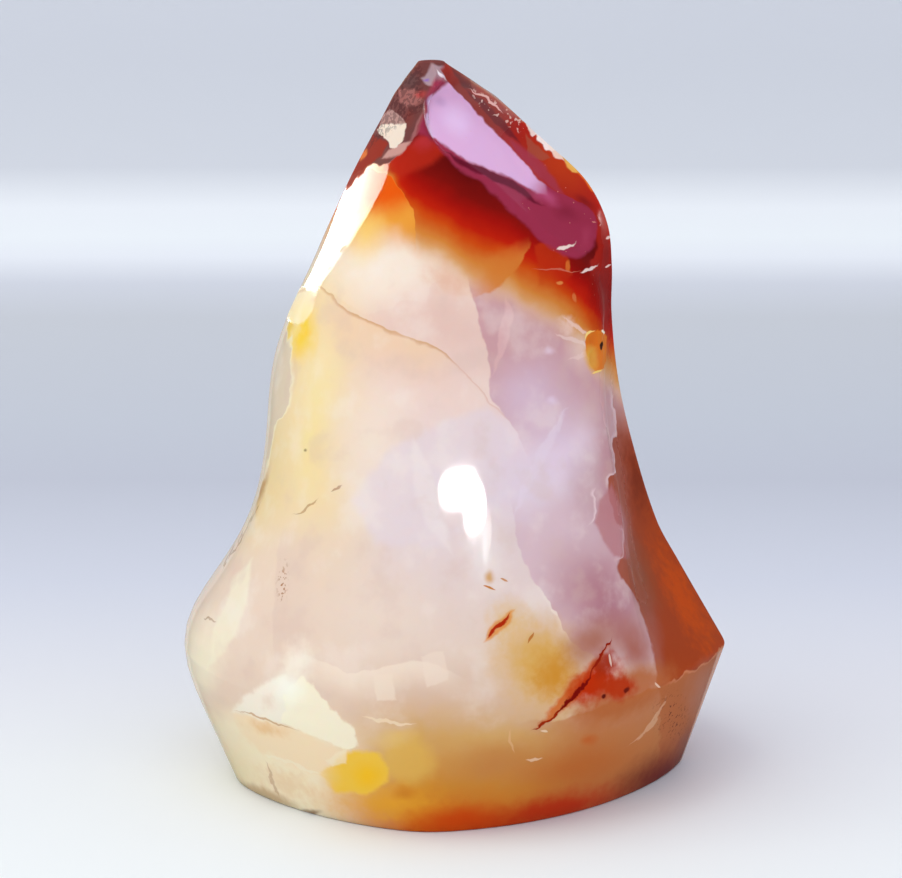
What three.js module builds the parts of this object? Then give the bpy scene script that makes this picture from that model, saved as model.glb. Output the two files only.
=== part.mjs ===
// Carnelian flame carving: one polished free-form of banded chalcedony, standing on a flat sawn base.
// A narrow foot band flares up to a belly ring, and above the ring the stone draws in and twists to a
// blunt tip, as a flame does. Four ridges run from the ring to the tip, with a bowed or hollow face
// between each two. Millimetres: X to the right, Y to the back, Z up, the middle of the base at zero.
import * as THREE from 'three';

// Driving dimensions
const TIP_HEIGHT = 99.4; // top section, just under the worn point
const POINT_RISE = 0.4; // how far the worn point stands above the top section
const RING_HEIGHT = 17.7; // belly ring, the widest section
const KEEL_STANDOUT = 3.4; // soft keel at the front of the base
const KEEL_HEIGHT = 25; // where the keel has died out
const LEAST_EDGE = 0.6; // a face narrower than its steps of this length takes fewer steps
const ROW_HEIGHT = 2.2; // usual distance between sections
const STRAIGHT = 0.001; // the least bow of a face, so that its arc has a radius
const EASE_SAMPLES = 5; // heights averaged where an edge is eased

// The four ridges, each from the belly ring to the tip, as [x, y, height]
const CREST_RIDGE = [
  [37.4, 2.4, RING_HEIGHT], [31, 6.3, 28.4], [28, 6.8, 34], [24.4, 5.4, 45.9], [22.3, 2, 55.5],
  [21.1, -2.8, 66], [21, -5, 72.9], [20.3, -5.4, 78.7], [17.5, -3.8, 84.1], [12.4, -1.8, 88.7],
  [6, -0.5, 94.3], [1.6, -0.5, 97.5], [-1.4, -0.2, TIP_HEIGHT],
];
const FRONT_RIDGE = [
  [27.2, -17.2, RING_HEIGHT], [24.2, -16, 29.5], [22.5, -13, 42.5], [20.7, -11, 53], [20, -9.7, 63],
  [19.6, -9.6, 69], [17, -9.9, 74.4], [11, -9.8, 79.6], [5.7, -8.9, 84.1], [0.4, -8.8, 87.9],
  [-2.3, -8.7, 89.7], [-3.9, -7.5, 92], [-4.3, -6, 93.7], [-4.1, -4.3, 95.2], [-1.4, -1.6, 96.8],
  [-1.8, -1.2, TIP_HEIGHT],
];
const LEFT_RIDGE = [
  [-37.4, -5.4, RING_HEIGHT], [-33.2, -7.6, 26.9], [-29.4, -8, 34.1], [-27.2, -7.7, 39],
  [-25.4, -7, 46.4], [-23.6, -6, 55.9], [-22.3, -5.2, 65], [-21, -5.2, 68.6], [-18.3, -6, 70.9],
  [-14.2, -7.2, 76.7], [-10.4, -7.4, 81.7], [-8.7, -7.2, 86.6], [-5.9, -6.8, 90.2], [-5, -5.2, 94.2],
  [-2.3, -3.5, 97.2], [-3.2, -1.6, TIP_HEIGHT],
];
const BACK_RIDGE = [
  [-24, 26.5, RING_HEIGHT], [-20, 22, 30], [-19.2, 18, 42], [-20, 15.7, 52], [-20.8, 12.5, 62],
  [-19.7, 9.3, 70], [-17.1, 7, 77], [-14, 4.6, 84.1], [-10.6, 0.9, 91.1], [-7.7, 0.3, 96.4],
  [-5.4, 0.1, TIP_HEIGHT],
];

// How far each face stands out from the straight line between its ridges, as [standout, height],
// from the ring up. A hollow face has a standout below zero.
const BACK_STANDOUT = [
  [20, RING_HEIGHT], [12, 30], [9.4, 42], [8.6, 53], [8.8, 66], [8.6, 77], [7.2, 84], [5.6, 89],
  [3.8, 93], [2, 96], [0.6, TIP_HEIGHT],
];
const LEFT_STANDOUT = [
  [7.2, RING_HEIGHT], [6.4, 25], [4, 33], [3, 42], [3.4, 57], [2.4, 61], [1, 66], [0.9, 71], [0.6, 77],
  [0.8, 84], [0.6, 90], [0.4, 96], [0.3, TIP_HEIGHT],
];
const FRONT_STANDOUT = [
  [18.8, RING_HEIGHT], [17.4, 24], [16.3, 30], [15.6, 36], [15.2, 42.5], [14.1, 53], [12.8, 60],
  [11.2, 66], [8.8, 71], [5.6, 77], [3.5, 82], [1.8, 86], [0.4, 90], [0.1, TIP_HEIGHT],
];
const RIGHT_STANDOUT = [
  [0.8, RING_HEIGHT], [-1.2, 30], [-2, 42], [-1.8, 53], [-0.8, 66], [-0.4, 72], [-0.6, 76.5],
  [-1.2, 79], [-1.5, 82.4], [-1.7, 85.2], [-1.9, 88.6], [-2, 92.2], [-1.8, 94.5], [-1, 96.1],
  [-0.1, 97.4], [0.2, TIP_HEIGHT],
];

// The flute: near the tip the right face is folded. Two flats meet in a soft valley, whose place is a
// share of the face's width from the front ridge, as [share, height].
const VALLEY_PLACE = [
  [0.39, 82], [0.43, 85.2], [0.58, 88.6], [0.61, 92.2], [0.58, 94.5], [0.4, 96.2],
];
const VALLEY_SOFTNESS = 0.14; // share of each flat's fall over which the valley is rounded
const FOLD_FROM = 78; // height where the hollow starts to turn into the fold
const FOLD_FULL = 82.5; // height from which it is the fold alone

// Each face goes from its first ridge to its second, round the stone from the right to the back.
// corner is where the first ridge's line meets the base, baseStandout is the face's bow there, and
// ease is half the height over which the ring's edge is rounded off, at the face's start and end.
// steps is the number of facets across the face.
const FACES = [
  {
    ridge: CREST_RIDGE, standout: BACK_STANDOUT, corner: [31.6, 3.5], baseStandout: 17,
    ease: [0.6, 4], steps: 20,
  },
  {
    ridge: BACK_RIDGE, standout: LEFT_STANDOUT, corner: [-19, 21.5], baseStandout: 4.6,
    ease: [4, 7], steps: 11,
  },
  {
    ridge: LEFT_RIDGE, standout: FRONT_STANDOUT, corner: [-30.2, -6], baseStandout: 14.6,
    ease: [7, 0.6], steps: 22, keel: KEEL_STANDOUT,
  },
  {
    ridge: FRONT_RIDGE, standout: RIGHT_STANDOUT, corner: [24, -10.2], baseStandout: 0.8,
    ease: [0.6, 0.6], steps: 10, folded: true,
  },
];
const FRONT_EASE_HOLD = 0.45; // share of the front face over which the ring's edge stays soft

// A smooth curve through knots whose last number is a height, read at any height. The slope at a
// knot is that of the line between its neighbours.
function readCurve(knots, height, index) {
  const last = knots.length - 1;
  const heightOf = (i) => knots[i][knots[i].length - 1];
  const slopeAt = (i) => {
    const below = Math.max(i - 1, 0);
    const above = Math.min(i + 1, last);
    return (knots[above][index] - knots[below][index]) / (heightOf(above) - heightOf(below));
  };
  let i = 0;
  while (i < last - 1 && height >= heightOf(i + 1)) i += 1;
  const span = heightOf(i + 1) - heightOf(i);
  const t = THREE.MathUtils.clamp((height - heightOf(i)) / span, 0, 1);
  const square = t * t;
  const cube = square * t;
  return (2 * cube - 3 * square + 1) * knots[i][index]
    + (cube - 2 * square + t) * span * slopeAt(i)
    + (3 * square - 2 * cube) * knots[i + 1][index]
    + (cube - square) * span * slopeAt(i + 1);
}

// Below the ring everything runs straight from the base outline to the ring.
function readFooted(knots, index, baseValue, height) {
  if (height >= RING_HEIGHT) return readCurve(knots, height, index);
  return THREE.MathUtils.lerp(baseValue, knots[0][index], height / RING_HEIGHT);
}

function ridgePoint(face, height) {
  return new THREE.Vector2(
    readFooted(face.ridge, 0, face.corner[0], height),
    readFooted(face.ridge, 1, face.corner[1], height),
  );
}

// The keel is a bump that is highest in the middle of its face and dies out upwards.
function keelStandout(face, t, height) {
  if (!face.keel) return 0;
  const fade = Math.max(1 - height / KEEL_HEIGHT, 0) ** 1.5;
  return face.keel * fade * (1 - Math.abs(2 * t - 1)) ** 1.6;
}

// How deep the fold is at a place across its face, as a share of its depth: two straight sides that
// meet at the valley, with the meeting rounded.
function foldShape(t, height) {
  const valley = readCurve(VALLEY_PLACE, height, 0);
  const fromFront = t / valley;
  const fromCrest = (1 - t) / (1 - valley);
  const near = Math.max(VALLEY_SOFTNESS - Math.abs(fromFront - fromCrest), 0) / VALLEY_SOFTNESS;
  return Math.min(fromFront, fromCrest) - near * near * VALLEY_SOFTNESS / 4;
}

// A point of the sharp section outline: a face is a circular arc between its two ridges, and the
// right face turns from the arc to the fold over a band of heights.
function sharpPoint(faceIndex, t, height) {
  const face = FACES[faceIndex];
  const start = ridgePoint(face, height);
  const end = ridgePoint(FACES[(faceIndex + 1) % FACES.length], height);
  const standout = readFooted(face.standout, 0, face.baseStandout, height);
  const bow = Math.abs(standout) < STRAIGHT ? STRAIGHT : standout;
  const chord = end.clone().sub(start);
  const length = chord.length();
  const direction = chord.divideScalar(length);
  const halfAngle = 2 * Math.atan((2 * bow) / length);
  const radius = length / 2 / Math.sin(halfAngle);
  const angle = halfAngle * (2 * t - 1);
  const along = length / 2 + radius * Math.sin(angle);
  const arc = radius * (Math.cos(angle) - Math.cos(halfAngle)) + keelStandout(face, t, height);
  const folding = face.folded ? THREE.MathUtils.smoothstep(height, FOLD_FROM, FOLD_FULL) : 0;
  const out = THREE.MathUtils.lerp(arc, bow * foldShape(t, height), folding);
  return new THREE.Vector2(
    start.x + direction.x * along + direction.y * out,
    start.y + direction.y * along - direction.x * out,
  );
}

// Half the height over which the ring's edge is rounded off, at a place along a face.
function easeReach(face, t) {
  if (!face.keel) return THREE.MathUtils.lerp(face.ease[0], face.ease[1], t);
  const past = THREE.MathUtils.clamp((t - FRONT_EASE_HOLD) / (1 - FRONT_EASE_HOLD), 0, 1);
  return THREE.MathUtils.lerp(face.ease[0], face.ease[1], past ** 1.5);
}

// The real surface: the sharp outline averaged over a window of heights, which rounds the ring.
function surfacePoint(faceIndex, t, height) {
  const reach = Math.min(easeReach(FACES[faceIndex], t), height, TIP_HEIGHT - height);
  const sum = new THREE.Vector2();
  for (let sample = 0; sample < EASE_SAMPLES; sample += 1) {
    const offset = reach * ((2 * sample) / (EASE_SAMPLES - 1) - 1);
    sum.add(sharpPoint(faceIndex, t, height + offset));
  }
  sum.divideScalar(EASE_SAMPLES);
  return new THREE.Vector3(sum.x, sum.y, height);
}

function faceLength(faceIndex, height) {
  const steps = 8;
  let length = 0;
  for (let step = 0; step < steps; step += 1) {
    const from = surfacePoint(faceIndex, step / steps, height);
    length += from.distanceTo(surfacePoint(faceIndex, (step + 1) / steps, height));
  }
  return length;
}

// One closed section: its points, and how far round the stone each lies, counted in faces.
function sectionLoop(height) {
  const points = [];
  const places = [];
  FACES.forEach((face, faceIndex) => {
    const most = Math.ceil(faceLength(faceIndex, height) / LEAST_EDGE);
    const steps = Math.min(face.steps, most);
    for (let step = 0; step < steps; step += 1) {
      points.push(surfacePoint(faceIndex, step / steps, height));
      places.push(faceIndex + step / steps);
    }
  });
  return { points, places };
}

function sectionHeights() {
  const footRows = Math.round(RING_HEIGHT / ROW_HEIGHT);
  const flameRows = Math.round((TIP_HEIGHT - RING_HEIGHT) / ROW_HEIGHT);
  const heights = [];
  for (let row = 0; row < footRows; row += 1) heights.push((RING_HEIGHT * row) / footRows);
  for (let row = 0; row <= flameRows; row += 1) {
    heights.push(RING_HEIGHT + ((TIP_HEIGHT - RING_HEIGHT) * row) / flameRows);
  }
  return heights;
}

// Triangles between two sections that may have different numbers of points: the side whose next
// point comes first round the stone takes the next triangle.
function stitch(lower, upper, lowerStart, upperStart, triangles) {
  const lowerCount = lower.places.length;
  const upperCount = upper.places.length;
  const nextPlace = (places, i) => (i + 1 < places.length ? places[i + 1] : FACES.length);
  let i = 0;
  let j = 0;
  while (i < lowerCount || j < upperCount) {
    const lowerIndex = lowerStart + (i % lowerCount);
    const upperIndex = upperStart + (j % upperCount);
    const lowerTurn = j === upperCount
      || (i < lowerCount && nextPlace(lower.places, i) <= nextPlace(upper.places, j));
    if (lowerTurn) {
      i += 1;
      triangles.push(lowerIndex, lowerStart + (i % lowerCount), upperIndex);
    } else {
      j += 1;
      triangles.push(lowerIndex, upperStart + (j % upperCount), upperIndex);
    }
  }
}

function carvingGeometry() {
  const loops = sectionHeights().map(sectionLoop);
  const positions = [];
  const triangles = [];
  const starts = loops.map((loop) => {
    const start = positions.length / 3;
    loop.points.forEach((point) => positions.push(point.x, point.y, point.z));
    return start;
  });
  for (let row = 0; row + 1 < loops.length; row += 1) {
    stitch(loops[row], loops[row + 1], starts[row], starts[row + 1], triangles);
  }

  // The flat base is a fan about the middle of the base.
  const baseCount = loops[0].points.length;
  const baseMiddle = positions.length / 3;
  positions.push(0, 0, 0);
  for (let i = 0; i < baseCount; i += 1) triangles.push(baseMiddle, (i + 1) % baseCount, i);

  // The worn point is a low fan over the top section.
  const top = loops[loops.length - 1].points;
  const topStart = starts[starts.length - 1];
  const point = positions.length / 3;
  const middle = new THREE.Vector3();
  top.forEach((corner) => middle.add(corner));
  middle.divideScalar(top.length);
  positions.push(middle.x, middle.y, TIP_HEIGHT + POINT_RISE);
  top.forEach((corner, i) => triangles.push(topStart + i, topStart + ((i + 1) % top.length), point));

  const geometry = new THREE.BufferGeometry();
  geometry.setAttribute('position', new THREE.Float32BufferAttribute(positions, 3));
  geometry.setIndex(triangles);
  geometry.computeVertexNormals();
  return geometry;
}

const chalcedony = new THREE.MeshStandardMaterial({
  color: 0xe3b9a4,
  roughness: 0.12,
  metalness: 0,
});

const carving = new THREE.Mesh(carvingGeometry(), chalcedony);
carving.name = 'flame_carving';

const stone = new THREE.Group();
stone.add(carving);

export default stone;
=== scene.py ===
"""Dresses the carnelian flame carving: its worn surface, its banded chalcedony, light and camera.

The stone is one polished piece. Its surface is worked out again from the same ridges as the solid,
with many more points, so that the polish mirrors the lamps without facets, and so that the worn
ridges, the chips and the small open pit have their place. Its markings are laid out on a sheet that
faces the viewer and run on into the stone as bands of chalcedony do.

Shape numbers are millimetres, places on the sheet are pixels of the 902 x 878 view, and Blender
works in metres.
"""
import logging
from collections.abc import Sequence
from dataclasses import dataclass, field
from enum import Enum
from math import cos, pi, radians, sin
from typing import Any

import bpy
import numpy as np
from mathutils import Matrix, Vector


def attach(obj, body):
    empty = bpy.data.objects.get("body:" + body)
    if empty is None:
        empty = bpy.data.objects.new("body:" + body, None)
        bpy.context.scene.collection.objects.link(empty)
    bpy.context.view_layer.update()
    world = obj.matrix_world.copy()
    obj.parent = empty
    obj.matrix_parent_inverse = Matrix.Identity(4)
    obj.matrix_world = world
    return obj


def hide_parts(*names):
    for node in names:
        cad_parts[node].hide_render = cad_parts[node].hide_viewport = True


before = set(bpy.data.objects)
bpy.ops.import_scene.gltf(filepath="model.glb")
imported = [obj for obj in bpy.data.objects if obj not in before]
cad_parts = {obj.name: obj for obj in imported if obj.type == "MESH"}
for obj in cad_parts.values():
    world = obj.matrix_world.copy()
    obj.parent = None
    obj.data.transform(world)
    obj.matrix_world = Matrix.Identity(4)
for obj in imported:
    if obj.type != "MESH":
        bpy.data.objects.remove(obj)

LOG = logging.getLogger("flame_carving")

Array = np.ndarray
Pair = tuple[float, float]
Triple = tuple[float, float, float]

MM = 0.001
# A length that stands for nothing, so that none is divided by 0, mm
TINY = 1e-6

# Heights of the stone, mm
TIP_HEIGHT = 99.4
POINT_RISE = 0.35
RING_HEIGHT = 17.7
FOLD_FROM = 78.0
FOLD_FULL = 82.5
VALLEY_SOFTNESS = 0.14
KEEL_HEIGHT = 25.0

# Powers by which the keel dies out upwards and to its sides, and by which the ring's edge hardens
KEEL_RISE_POWER = 1.5
KEEL_SIDE_POWER = 1.6
HARDEN_POWER = 1.5
# The least that a face is bowed, so that it is always an arc, mm
LEAST_BOW = 0.001

# The camera: where it looks and from how far
AIM_MM = (-0.75, 0.0, 47.46)
CAMERA_DISTANCE_MM = 600.0
CAMERA_ELEVATION = 15.0
FRAME_WIDTH = 902.0
FRAME_HEIGHT = 878.0
FOCUS = 4410.0
SENSOR_WIDTH_MM = 36.0
SIGHT = (0.0, cos(radians(CAMERA_ELEVATION)), -sin(radians(CAMERA_ELEVATION)))
SIGHT_UP = (0.0, sin(radians(CAMERA_ELEVATION)), cos(radians(CAMERA_ELEVATION)))
# The columns of the frame between which the stone stands
STONE_ACROSS = (180.0, 730.0)


def tint(red: float, green: float, blue: float) -> tuple[float, float, float, float]:
    """Turns a colour as the eye reads it, 0 to 255, into the linear light that a shader takes.

    Args:
        red: Red, 0 to 255.
        green: Green, 0 to 255.
        blue: Blue, 0 to 255.

    Returns:
        Linear red, green, blue and a full alpha.
    """
    share = np.clip(np.array((red, green, blue), float) / 255.0, 0.0, 1.0)
    linear = np.where(share <= 0.04045, share / 12.92, ((share + 0.055) / 1.055) ** 2.4)
    return (float(linear[0]), float(linear[1]), float(linear[2]), 1.0)


def smoothstep(low: float, high: float, value: Array) -> Array:
    """Rises from 0 at low to 1 at high with level ends: 3 s squared less 2 s cubed."""
    share = np.clip((value - low) / (high - low), 0.0, 1.0)
    return share * share * (3.0 - 2.0 * share)


def gathered(items: Any, name: str, width: int = 1) -> Array:
    """Reads one property of all vertices, corners or faces of a mesh.

    Args:
        items: The mesh's vertices, corners or faces.
        name: The property.
        width: How many numbers it has.

    Returns:
        The numbers, a row for each item where there is more than one.
    """
    values = np.empty(len(items) * width)
    items.foreach_get(name, values)
    return values.reshape(-1, width) if width > 1 else values


@dataclass(frozen=True)
class Curve:
    """A smooth curve over height, through knots whose last number is the height in mm.

    Attributes:
        knots: One tuple for each knot: the values, then the height.
    """

    knots: tuple[tuple[float, ...], ...]

    def read(self, height: Array, index: int = 0) -> Array:
        """Reads one value of the curve.

        Between two knots the value is a cubic whose slope at a knot is that of the line between
        the knot's neighbours.

        Args:
            height: Heights in mm.
            index: Which of the knot's values is read.

        Returns:
            The value at each height.
        """
        table = np.array(self.knots, float)
        at, value = table[:, -1], table[:, index]
        last = len(at) - 1
        below = np.maximum(np.arange(last + 1) - 1, 0)
        above = np.minimum(np.arange(last + 1) + 1, last)
        slope = (value[above] - value[below]) / (at[above] - at[below])
        i = np.clip(np.searchsorted(at, height, side="right") - 1, 0, last - 1)
        span = at[i + 1] - at[i]
        t = np.clip((height - at[i]) / span, 0.0, 1.0)
        square, cube = t * t, t * t * t
        return (
            (2 * cube - 3 * square + 1) * value[i]
            + (cube - 2 * square + t) * span * slope[i]
            + (3 * square - 2 * cube) * value[i + 1]
            + (cube - square) * span * slope[i + 1]
        )

    def footed(self, height: Array, foot: float, index: int = 0) -> Array:
        """Reads the curve above the belly ring, and below it a straight run down to the base.

        Args:
            height: Heights in mm.
            foot: The value at the base.
            index: Which of the knot's values is read.

        Returns:
            The value at each height.
        """
        start = self.knots[0][index]
        straight = foot + (start - foot) * np.clip(height / RING_HEIGHT, 0.0, 1.0)
        return np.where(height < RING_HEIGHT, straight, self.read(height, index))


@dataclass(frozen=True)
class Ridge:
    """A ridge from the belly ring to the tip.

    Attributes:
        line: Knots of x, y and height in mm.
        foot: Where the ridge's line meets the base, mm.
        wear: Knots of wear and height: how far to each side of the ridge it is rubbed round, mm.
    """

    line: Curve
    foot: Pair
    wear: Curve

    def at(self, height: Array) -> tuple[Array, Array]:
        """The ridge's x and y at each height, in mm."""
        return (
            self.line.footed(height, self.foot[0], 0),
            self.line.footed(height, self.foot[1], 1),
        )


@dataclass(frozen=True)
class Face:
    """A face between two ridges, bowed out or hollow.

    Attributes:
        start: The ridge that it starts from, going round from the right to the back.
        end: The ridge that it ends at.
        standout: Knots of standout and height: how far the face stands out from the straight line
            between its ridges, mm.
        base_standout: The same at the base, mm.
        ease: Half the height over which the belly ring is rounded, at the start and the end, mm.
        ease_hold: Share of the face over which the ring stays as soft as at the start.
        keel: How far a soft keel stands out at the base, mm.
        valley: Knots of share and height: how far from the start, as a share of the width, the
            face is folded into a valley near the tip, or None where it isn't folded.
        columns: How many columns of points cross the face.
    """

    start: Ridge
    end: Ridge
    standout: Curve
    base_standout: float
    ease: Pair
    columns: int
    ease_hold: float = 0.0
    keel: float = 0.0
    valley: Curve | None = None

    def reach(self, height: Array) -> tuple[Array, Array]:
        """The chord's length and the arc's half angle at each height.

        The half angle is twice the arc tangent of twice the standout over the chord.

        Args:
            height: Heights in mm.

        Returns:
            Chord in mm and half angle in radians.
        """
        start_x, start_y = self.start.at(height)
        end_x, end_y = self.end.at(height)
        chord = np.hypot(end_x - start_x, end_y - start_y)
        bow = self.standout.footed(height, self.base_standout)
        bow = np.where(np.abs(bow) < LEAST_BOW, LEAST_BOW, bow)
        return chord, 2 * np.arctan(2 * bow / chord)

    def length(self, height: Array) -> Array:
        """The length of the face's arc at each height: chord times half angle over its sine."""
        chord, half = self.reach(height)
        return chord * half / np.sin(half)

    def fold_shape(self, t: Array, height: Array) -> Array:
        """Two straight sides that meet in a valley, where it is 1, with the meeting rounded.

        Near the meeting the smaller of the two shares is lowered by a quarter of the softness times
        the square of the nearness.

        Args:
            t: Share of the way along the face, 0 to 1.
            height: Heights in mm.

        Returns:
            How deep the fold is, as a share of its full depth.
        """
        valley = self.valley.read(height)
        from_start, from_end = t / valley, (1 - t) / (1 - valley)
        near = np.maximum(VALLEY_SOFTNESS - np.abs(from_start - from_end), 0.0) / VALLEY_SOFTNESS
        return np.minimum(from_start, from_end) - near * near * VALLEY_SOFTNESS / 4

    def point(self, t: Array, height: Array) -> tuple[Array, Array]:
        """A point of the sharp section: an arc between the ridges, plus keel, turning to the fold.

        Args:
            t: Share of the way along the face, 0 to 1.
            height: Heights in mm.

        Returns:
            x and y in mm.
        """
        start_x, start_y = self.start.at(height)
        end_x, end_y = self.end.at(height)
        chord, half = self.reach(height)
        radius = chord / 2 / np.sin(half)
        angle = half * (2 * t - 1)
        along = chord / 2 + radius * np.sin(angle)
        out = radius * (np.cos(angle) - np.cos(half))
        if self.keel:
            fade = np.maximum(1 - height / KEEL_HEIGHT, 0.0) ** KEEL_RISE_POWER
            out = out + self.keel * fade * np.maximum(1 - np.abs(2 * t - 1), 0.0) ** KEEL_SIDE_POWER
        if self.valley:
            depth = self.standout.footed(height, self.base_standout) * self.fold_shape(t, height)
            folding = smoothstep(FOLD_FROM, FOLD_FULL, height)
            out = out + (depth - out) * folding
        across_x, across_y = (end_x - start_x) / chord, (end_y - start_y) / chord
        return (
            start_x + across_x * along + across_y * out,
            start_y + across_y * along - across_x * out,
        )

    def ring_ease(self, t: Array) -> Array:
        """Half the height over which the ring is rounded: from the start's to the end's.

        Args:
            t: Share of the way along the face, 0 to 1.

        Returns:
            Half heights in mm.
        """
        past = np.clip((t - self.ease_hold) / (1 - self.ease_hold), 0.0, 1.0)
        past = past ** (HARDEN_POWER if self.ease_hold else 1.0)
        return self.ease[0] + (self.ease[1] - self.ease[0]) * past


CREST_RIDGE = Ridge(
    line=Curve((
        (37.4, 2.4, RING_HEIGHT), (31, 6.3, 28.4), (28, 6.8, 34), (24.4, 5.4, 45.9),
        (22.3, 2, 55.5), (21.1, -2.8, 66), (21, -5, 72.9), (20.3, -5.4, 78.7),
        (17.5, -3.8, 84.1), (12.4, -1.8, 88.7), (6, -0.5, 94.3), (1.6, -0.5, 97.5),
        (-1.4, -0.2, TIP_HEIGHT),
    )),
    foot=(31.6, 3.5),
    wear=Curve(((0.7, 0), (0.7, RING_HEIGHT), (0.9, 45), (0.7, 70), (0.5, TIP_HEIGHT))),
)
FRONT_RIDGE = Ridge(
    line=Curve((
        (27.2, -17.2, RING_HEIGHT), (24.2, -16, 29.5), (22.5, -13, 42.5), (20.7, -11, 53),
        (20, -9.7, 63), (19.6, -9.6, 69), (17, -9.9, 74.4), (11, -9.8, 79.6),
        (5.7, -8.9, 84.1), (0.4, -8.8, 87.9), (-2.3, -8.7, 89.7), (-3.9, -7.5, 92),
        (-4.3, -6, 93.7), (-4.1, -4.3, 95.2), (-1.4, -1.6, 96.8), (-1.8, -1.2, TIP_HEIGHT),
    )),
    foot=(24, -10.2),
    wear=Curve((
        (5, 0), (5, RING_HEIGHT), (4, 40), (2.6, 60), (1.7, 72), (1.1, 80),
        (0.8, 90), (0.5, TIP_HEIGHT),
    )),
)
LEFT_RIDGE = Ridge(
    line=Curve((
        (-37.4, -5.4, RING_HEIGHT), (-33.2, -7.6, 26.9), (-29.4, -8, 34.1), (-27.2, -7.7, 39),
        (-25.4, -7, 46.4), (-23.6, -6, 55.9), (-22.3, -5.2, 65), (-21, -5.2, 68.6),
        (-18.3, -6, 70.9), (-14.2, -7.2, 76.7), (-10.4, -7.4, 81.7), (-8.7, -7.2, 86.6),
        (-5.9, -6.8, 90.2), (-5, -5.2, 94.2), (-2.3, -3.5, 97.2), (-3.2, -1.6, TIP_HEIGHT),
    )),
    foot=(-30.2, -6),
    wear=Curve((
        (4, 0), (4, RING_HEIGHT), (3, 30), (2, 50), (1.2, 70), (0.9, 85),
        (0.5, TIP_HEIGHT),
    )),
)
BACK_RIDGE = Ridge(
    line=Curve((
        (-24, 26.5, RING_HEIGHT), (-20, 22, 30), (-19.2, 18, 42), (-20, 15.7, 52),
        (-20.8, 12.5, 62), (-19.7, 9.3, 70), (-17.1, 7, 77), (-14, 4.6, 84.1),
        (-10.6, 0.9, 91.1), (-7.7, 0.3, 96.4), (-5.4, 0.1, TIP_HEIGHT),
    )),
    foot=(-19, 21.5),
    wear=Curve(((3, 0), (3, RING_HEIGHT), (1.8, 60), (1, 85), (0.5, TIP_HEIGHT))),
)

BACK_FACE = Face(
    start=CREST_RIDGE, end=BACK_RIDGE, base_standout=17, ease=(0.6, 4), columns=88,
    standout=Curve((
        (20, RING_HEIGHT), (12, 30), (9.4, 42), (8.6, 53), (8.8, 66), (8.6, 77),
        (7.2, 84), (5.6, 89), (3.8, 93), (2, 96), (0.6, TIP_HEIGHT),
    )),
)
LEFT_FACE = Face(
    start=BACK_RIDGE, end=LEFT_RIDGE, base_standout=4.6, ease=(4, 7), columns=56,
    standout=Curve((
        (7.2, RING_HEIGHT), (6.4, 25), (4, 33), (3, 42), (3.4, 57), (2.4, 61),
        (1, 66), (0.9, 71), (0.6, 77), (0.8, 84), (0.6, 90), (0.4, 96),
        (0.3, TIP_HEIGHT),
    )),
)
FRONT_FACE = Face(
    start=LEFT_RIDGE, end=FRONT_RIDGE, base_standout=14.6, ease=(7, 0.6), columns=124,
    ease_hold=0.45, keel=3.4,
    standout=Curve((
        (18.8, RING_HEIGHT), (17.4, 24), (16.3, 30), (15.6, 36), (15.2, 42.5), (14.1, 53),
        (12.8, 60), (11.2, 66), (8.8, 71), (5.6, 77), (3.5, 82), (1.8, 86),
        (0.4, 90), (0.1, TIP_HEIGHT),
    )),
)
RIGHT_FACE = Face(
    start=FRONT_RIDGE, end=CREST_RIDGE, base_standout=0.8, ease=(0.6, 0.6), columns=72,
    standout=Curve((
        (0.8, RING_HEIGHT), (-1.2, 30), (-2, 42), (-1.8, 53), (-0.8, 66), (-0.4, 72),
        (-0.6, 76.5), (-1.2, 79), (-1.5, 82.4), (-1.7, 85.2), (-1.9, 88.6), (-2, 92.2),
        (-1.8, 94.5), (-1, 96.1), (-0.1, 97.4), (0.2, TIP_HEIGHT),
    )),
    valley=Curve((
        (0.39, 82), (0.43, 85.2), (0.58, 88.6), (0.61, 92.2), (0.58, 94.5), (0.40, 96.2),
    )),
)
FACES = (BACK_FACE, LEFT_FACE, FRONT_FACE, RIGHT_FACE)


@dataclass(frozen=True)
class Chip:
    """A small shell-shaped break: the stone inside a ball is gone.

    Attributes:
        middle: Middle of the ball, which stands mostly outside the stone, mm.
        radius: Radius of the ball, mm.
    """

    middle: Triple
    radius: float

    def bite(self, points: Array) -> Array:
        """Moves the points inside the ball out to its skin, straight away from its middle.

        Args:
            points: Points in mm, the last axis being x, y and z.

        Returns:
            The points with the break in them.
        """
        arm = points - np.array(self.middle)
        far = np.maximum(np.linalg.norm(arm, axis=-1, keepdims=True), TINY)
        return np.where(far < self.radius, points + arm * (self.radius / far - 1), points)


CHIPS = (
    Chip((8.95, -2.2, 92.0), 1.6),
    Chip((10.55, -2.5, 90.8), 1.7),
    Chip((12.1, -2.9, 89.6), 1.6),
    Chip((13.5, -3.4, 88.3), 1.5),
    Chip((-1.06, -4.8, 98.9), 3.0),
    Chip((19.3, -12.6, 64.3), 1.9),
    Chip((19.4, -12.5, 62.0), 1.9),
)


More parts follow.
